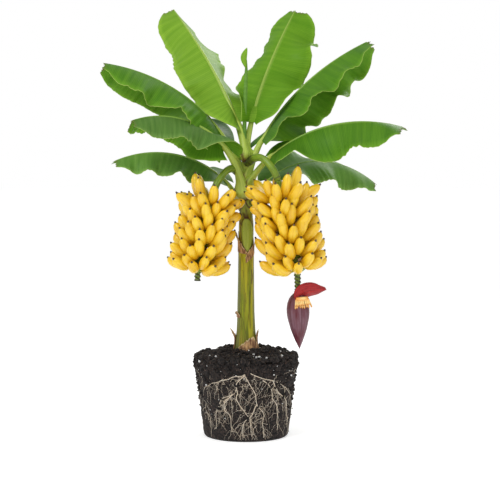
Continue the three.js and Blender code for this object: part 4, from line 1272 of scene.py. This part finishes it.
def male_flowers():
    rng = random.Random(5)
    neck = BUD_TOP + Vector((10, -42, -26))
    across = Vector((1, 0.1, 0.08)).normalized()
    shape = template(rod_blank(8, FLOWER_STEPS), "flower_shape")
    bm = bmesh.new()
    add_copy(bm, shape, lambda height, angle, rim: neck + across * mix(-18, 40, height) + Vector(
        (0, math.cos(angle), math.sin(angle))) * 8.5)
    count = 16
    for i in range(count):
        row = i % 2
        share = (i // 2) / (count / 2 - 1)
        root = neck + across * mix(-16, 38, share)
        sideways = mix(-0.12, 0.42, share) + rng.uniform(-0.04, 0.04)
        lean = Vector((sideways, -0.55 + 0.35 * row, -1)).normalized()
        length = 46 * (1 if row else 0.82) * rng.uniform(0.94, 1.04)
        middle = root + lean * (length / 2) + Vector((0, -2, 1))
        frames = smooth_line([root, middle, root + lean * length], FLOWER_STEPS)
        add_copy(bm, shape, tube_rule(frames, lambda s, a: FLOWER_RADII[round(s * FLOWER_STEPS)]))
    finish_piece("male_flower_rows", bm, (FLOWER,), ("male_flowers",))


male_flowers()

# %% [markdown]
# ## Root ball
# The plant has come out of a pot, so its soil keeps the pot's shape. The soil is crumbly, mounded at
# the stem and held by roots. Noise at three scales and a pattern of cells push one closed skin into
# lumps. Loose crumbs, white grains of perlite and the roots are small meshes, joined by kind.

# %% Soil
BALL_PROFILE = ((199, 0), (205, 6), (220, 130), (235, 260), (250, 368),
                (242, 381), (165, 390), (96, 409), (66, 404.7))
BALL_HEIGHT = 385
MOUND = ((66, 405), (96, 409), (165, 390), (242, 381), (250, 374))


def profile_path(steps):
    """Points spaced evenly along the ball's outline."""
    lengths = [0.0]
    for a, b in zip(BALL_PROFILE, BALL_PROFILE[1:]):
        lengths.append(lengths[-1] + math.dist(a, b))
    points = []
    for i in range(steps + 1):
        want = lengths[-1] * i / steps
        k = max(j for j, length in enumerate(lengths[:-1]) if length <= want)
        share = (want - lengths[k]) / (lengths[k + 1] - lengths[k])
        a, b = BALL_PROFILE[k:k + 2]
        points.append((mix(a[0], b[0], share), mix(a[1], b[1], share)))
    return points


def soil_lump(point):
    crumb = noise.voronoi(point / 15)[0][0]
    lump = 6.0 * noise.noise(point / 42) + 5.0 * noise.noise(point / 17) + 5.0 * (0.5 - crumb)
    return (lump + 2.2 * noise.noise(point / 6)) * mix(0.55, 1, ease((point.z - 290) / 60))


def root_ball():
    steps = 150
    outline = profile_path(steps)

    def place(share, angle, rim):
        radius, z = outline[round(share * steps)]
        point = around(radius, angle, z)
        rough = ease((z - 2) / 10) * ease((radius - 66) / 20)
        lump = soil_lump(point) * rough - 2.0
        top = ease((z - 366) / 20)
        return point + Vector((point.x / radius, point.y / radius, 0)) * (lump * (1 - 0.7 * top)) + Vector(
            (0, 0, (1.9 * lump - 3) * top))

    finish_piece("soil", warp(rod_blank(260, steps), place), (SOIL,), ("root_ball",))


root_ball()


def ball_side(z):
    return mix(205, 250, z / BALL_HEIGHT)


def on_ball(heading, z, lift=0.0):
    angle = math.radians(heading)
    base = around(ball_side(z), angle, z)
    radius = ball_side(z) + soil_lump(base) - 2.0 + lift
    return around(radius, angle, z)


# %% Crumbs and perlite
def scatter(name, count, sizes, material, seed, top_share, height_power, lift, ring=(0.08, 1.0)):
    """Grains on the mound and down the side of the ball, each squashed and turned at random."""
    rng = random.Random(seed)
    bm = bmesh.new()
    bmesh.ops.create_icosphere(bm, subdivisions=1, radius=1)
    shape = template(bm, name + "_shape")
    bm = bmesh.new()
    for _ in range(count):
        if rng.random() < top_share:
            radius = 248 * math.sqrt(rng.uniform(*ring))
            angle = rng.uniform(0, 2 * math.pi)
            centre = around(radius, angle, read_line(MOUND, radius) + lift)
        else:
            centre = on_ball(rng.uniform(-180, 180), 380 * rng.random() ** height_power, lift)
            centre.z = max(centre.z, 12)
        size = rng.uniform(*sizes)
        stretched = Vector([size * rng.uniform(0.6, most) for most in (1.2, 1.2, 1.1)])
        turn = rng.uniform(0, math.pi)
        before = len(bm.verts)
        bm.from_mesh(shape)
        bm.verts.ensure_lookup_table()
        for vertex in bm.verts[before:]:
            x, y, z = (a * b for a, b in zip(vertex.co, stretched))
            x, y = x * math.cos(turn) - y * math.sin(turn), x * math.sin(turn) + y * math.cos(turn)
            vertex.co = centre + Vector((x, y, z)) * rng.uniform(0.85, 1.15)
    finish_piece(name, bm, (material,))


GRAINS = (  # name, count, sizes, finish, seed, share on the mound, crowding to the top, lift, ring
    ("crumbs", 2300, (4, 11), SOIL, 3, 0.76, 0.26, 2),
    ("clods", 170, (6, 20), SOIL, 8, 1.0, 0.4, 5),
    ("clods_by_stem", 60, (9, 17), SOIL, 9, 1.0, 0.4, 11, (0.1, 0.3)),
    ("clods_at_rim", 64, (6, 20), SOIL, 10, 1.0, 0.4, 9, (0.8, 0.98)),
    ("brown_crumbs", 900, (2, 5), SOIL_BROWN, 12, 0.6, 0.4, 4),
    ("perlite", 110, (1.6, 3.2), PERLITE, 4, 0.55, 0.3, 5),
    ("perlite_large", 36, (4.5, 7.5), PERLITE, 6, 0.75, 0.12, 10))
for grain in GRAINS:
    scatter(*grain)

# %% [markdown]
# ## Roots
# Banana roots are cords of even thickness that spring from the corm, run to the pot's wall and turn
# down along it. The main ones fan out from below the stem, and finer ones branch off in all
# directions. Each is a tube along a line on the ball's face. A main root follows set places. A fine
# one starts on a main root or anywhere on the face, and drifts to one side as it drops.

# %% Root nets
MAIN_THICKNESS, MAIN_LIFT, FINE_ROOTS = 2.0, 3.0, 420
MAIN_ROOTS = (  # places across and up the ball's front, from the start of each root to its tip
    ((-4, 329), (-50, 315), (-112, 295), (-166, 270), (-198, 243)),
    ((-8, 323), (-39, 291), (-50, 239), (-104, 212), (-127, 173), (-135, 133), (-137, 58)),
    ((-50, 239), (-94, 198), (-100, 152), (-75, 127), (-67, 52)),
    ((-43, 254), (-40, 200), (-3, 146), (20, 103), (27, 28)),
    ((-4, 324), (27, 270), (46, 229), (55, 181), (80, 142), (80, 96), (80, 22)),
    ((55, 183), (30, 142), (4, 111), (-13, 84), (-18, 22)),
    ((19, 334), (65, 312), (126, 294), (173, 262), (205, 220)),
    ((76, 300), (118, 254), (123, 207), (142, 173), (146, 123), (147, 48)),
    ((120, 296), (146, 239), (180, 200), (190, 152), (193, 77)))


def heading_at(x, z):
    """The heading, from the ball's axis, of the point of its front that lies at x."""
    return -90 + math.degrees(math.asin(clamp(x / ball_side(z), -1, 1)))


def add_root(bm, shape, turns, thickness, seed, lift=1.0):
    route = smooth_line([Vector((heading, z, 0)) for heading, z in turns], 14)
    points = []
    for i, (place, _, _, _) in enumerate(route):
        heading = place.x + 2.4 * uneven(i * 0.5, seed * 1.7, 0)
        z = max(place.y + 5 * uneven(i * 0.6, seed * 1.7, 9), 8)
        points.append(on_ball(heading, z, thickness * 0.5 + lift))
    frames = smooth_line(points, 24)
    add_copy(bm, shape, tube_rule(frames, lambda share, angle: thickness * (1 - 0.5 * share)))


def roots():
    rng = random.Random(21)
    shape = template(rod_blank(5, 24), "root_shape")
    bm = bmesh.new()
    mains = [[(heading_at(x, z), z) for x, z in turns] for turns in MAIN_ROOTS]
    # Six of them are repeated round the back, a little lower.
    mains += [[(90 + 0.8 * (heading + 90), z - 6) for heading, z in turns] for turns in mains[1:7]]
    for seed, turns in enumerate(mains):
        add_root(bm, shape, turns, MAIN_THICKNESS, seed, MAIN_LIFT)
    for seed in range(FINE_ROOTS):
        if seed % 3:
            turns = rng.choice(mains)
            start, share = rng.randrange(len(turns) - 1), rng.random()
            heading = mix(turns[start][0], turns[start + 1][0], share)
            z = mix(turns[start][1], turns[start + 1][1], share)
        else:
            heading, z = rng.uniform(-180, 180), rng.uniform(60, 330)
        drift, drop = rng.uniform(-18, 18), rng.uniform(-12, 120)
        turns = ((heading, z), (heading + drift * 0.55, z - drop * 0.35),
                 (heading + drift, max(z - drop, 12)))
        add_root(bm, shape, turns, rng.uniform(0.35, 0.85), seed + 50)
    finish_piece("root_net", bm, (ROOT,))


roots()

# %% [markdown]
# ## Floor
# A plain pale floor catches the soft shadow that grounds the plant.

# %% Floor
FLOOR_RADIUS = 45
floor_bm = bmesh.new()
bmesh.ops.create_circle(floor_bm, cap_ends=True, segments=64, radius=FLOOR_RADIUS)
floor_mesh = template(floor_bm, "floor")
floor_material, _, floor_shader = new_material("floor", 0.9)
floor_shader.inputs["Base Color"].default_value = rgb(244, 244, 244)
floor_shader.inputs["Emission Color"].default_value = (1, 1, 1, 1)
floor_shader.inputs["Emission Strength"].default_value = 0.44
floor_mesh.materials.append(floor_material)
floor = bpy.data.objects.new("floor", floor_mesh)
bpy.context.scene.collection.objects.link(floor)
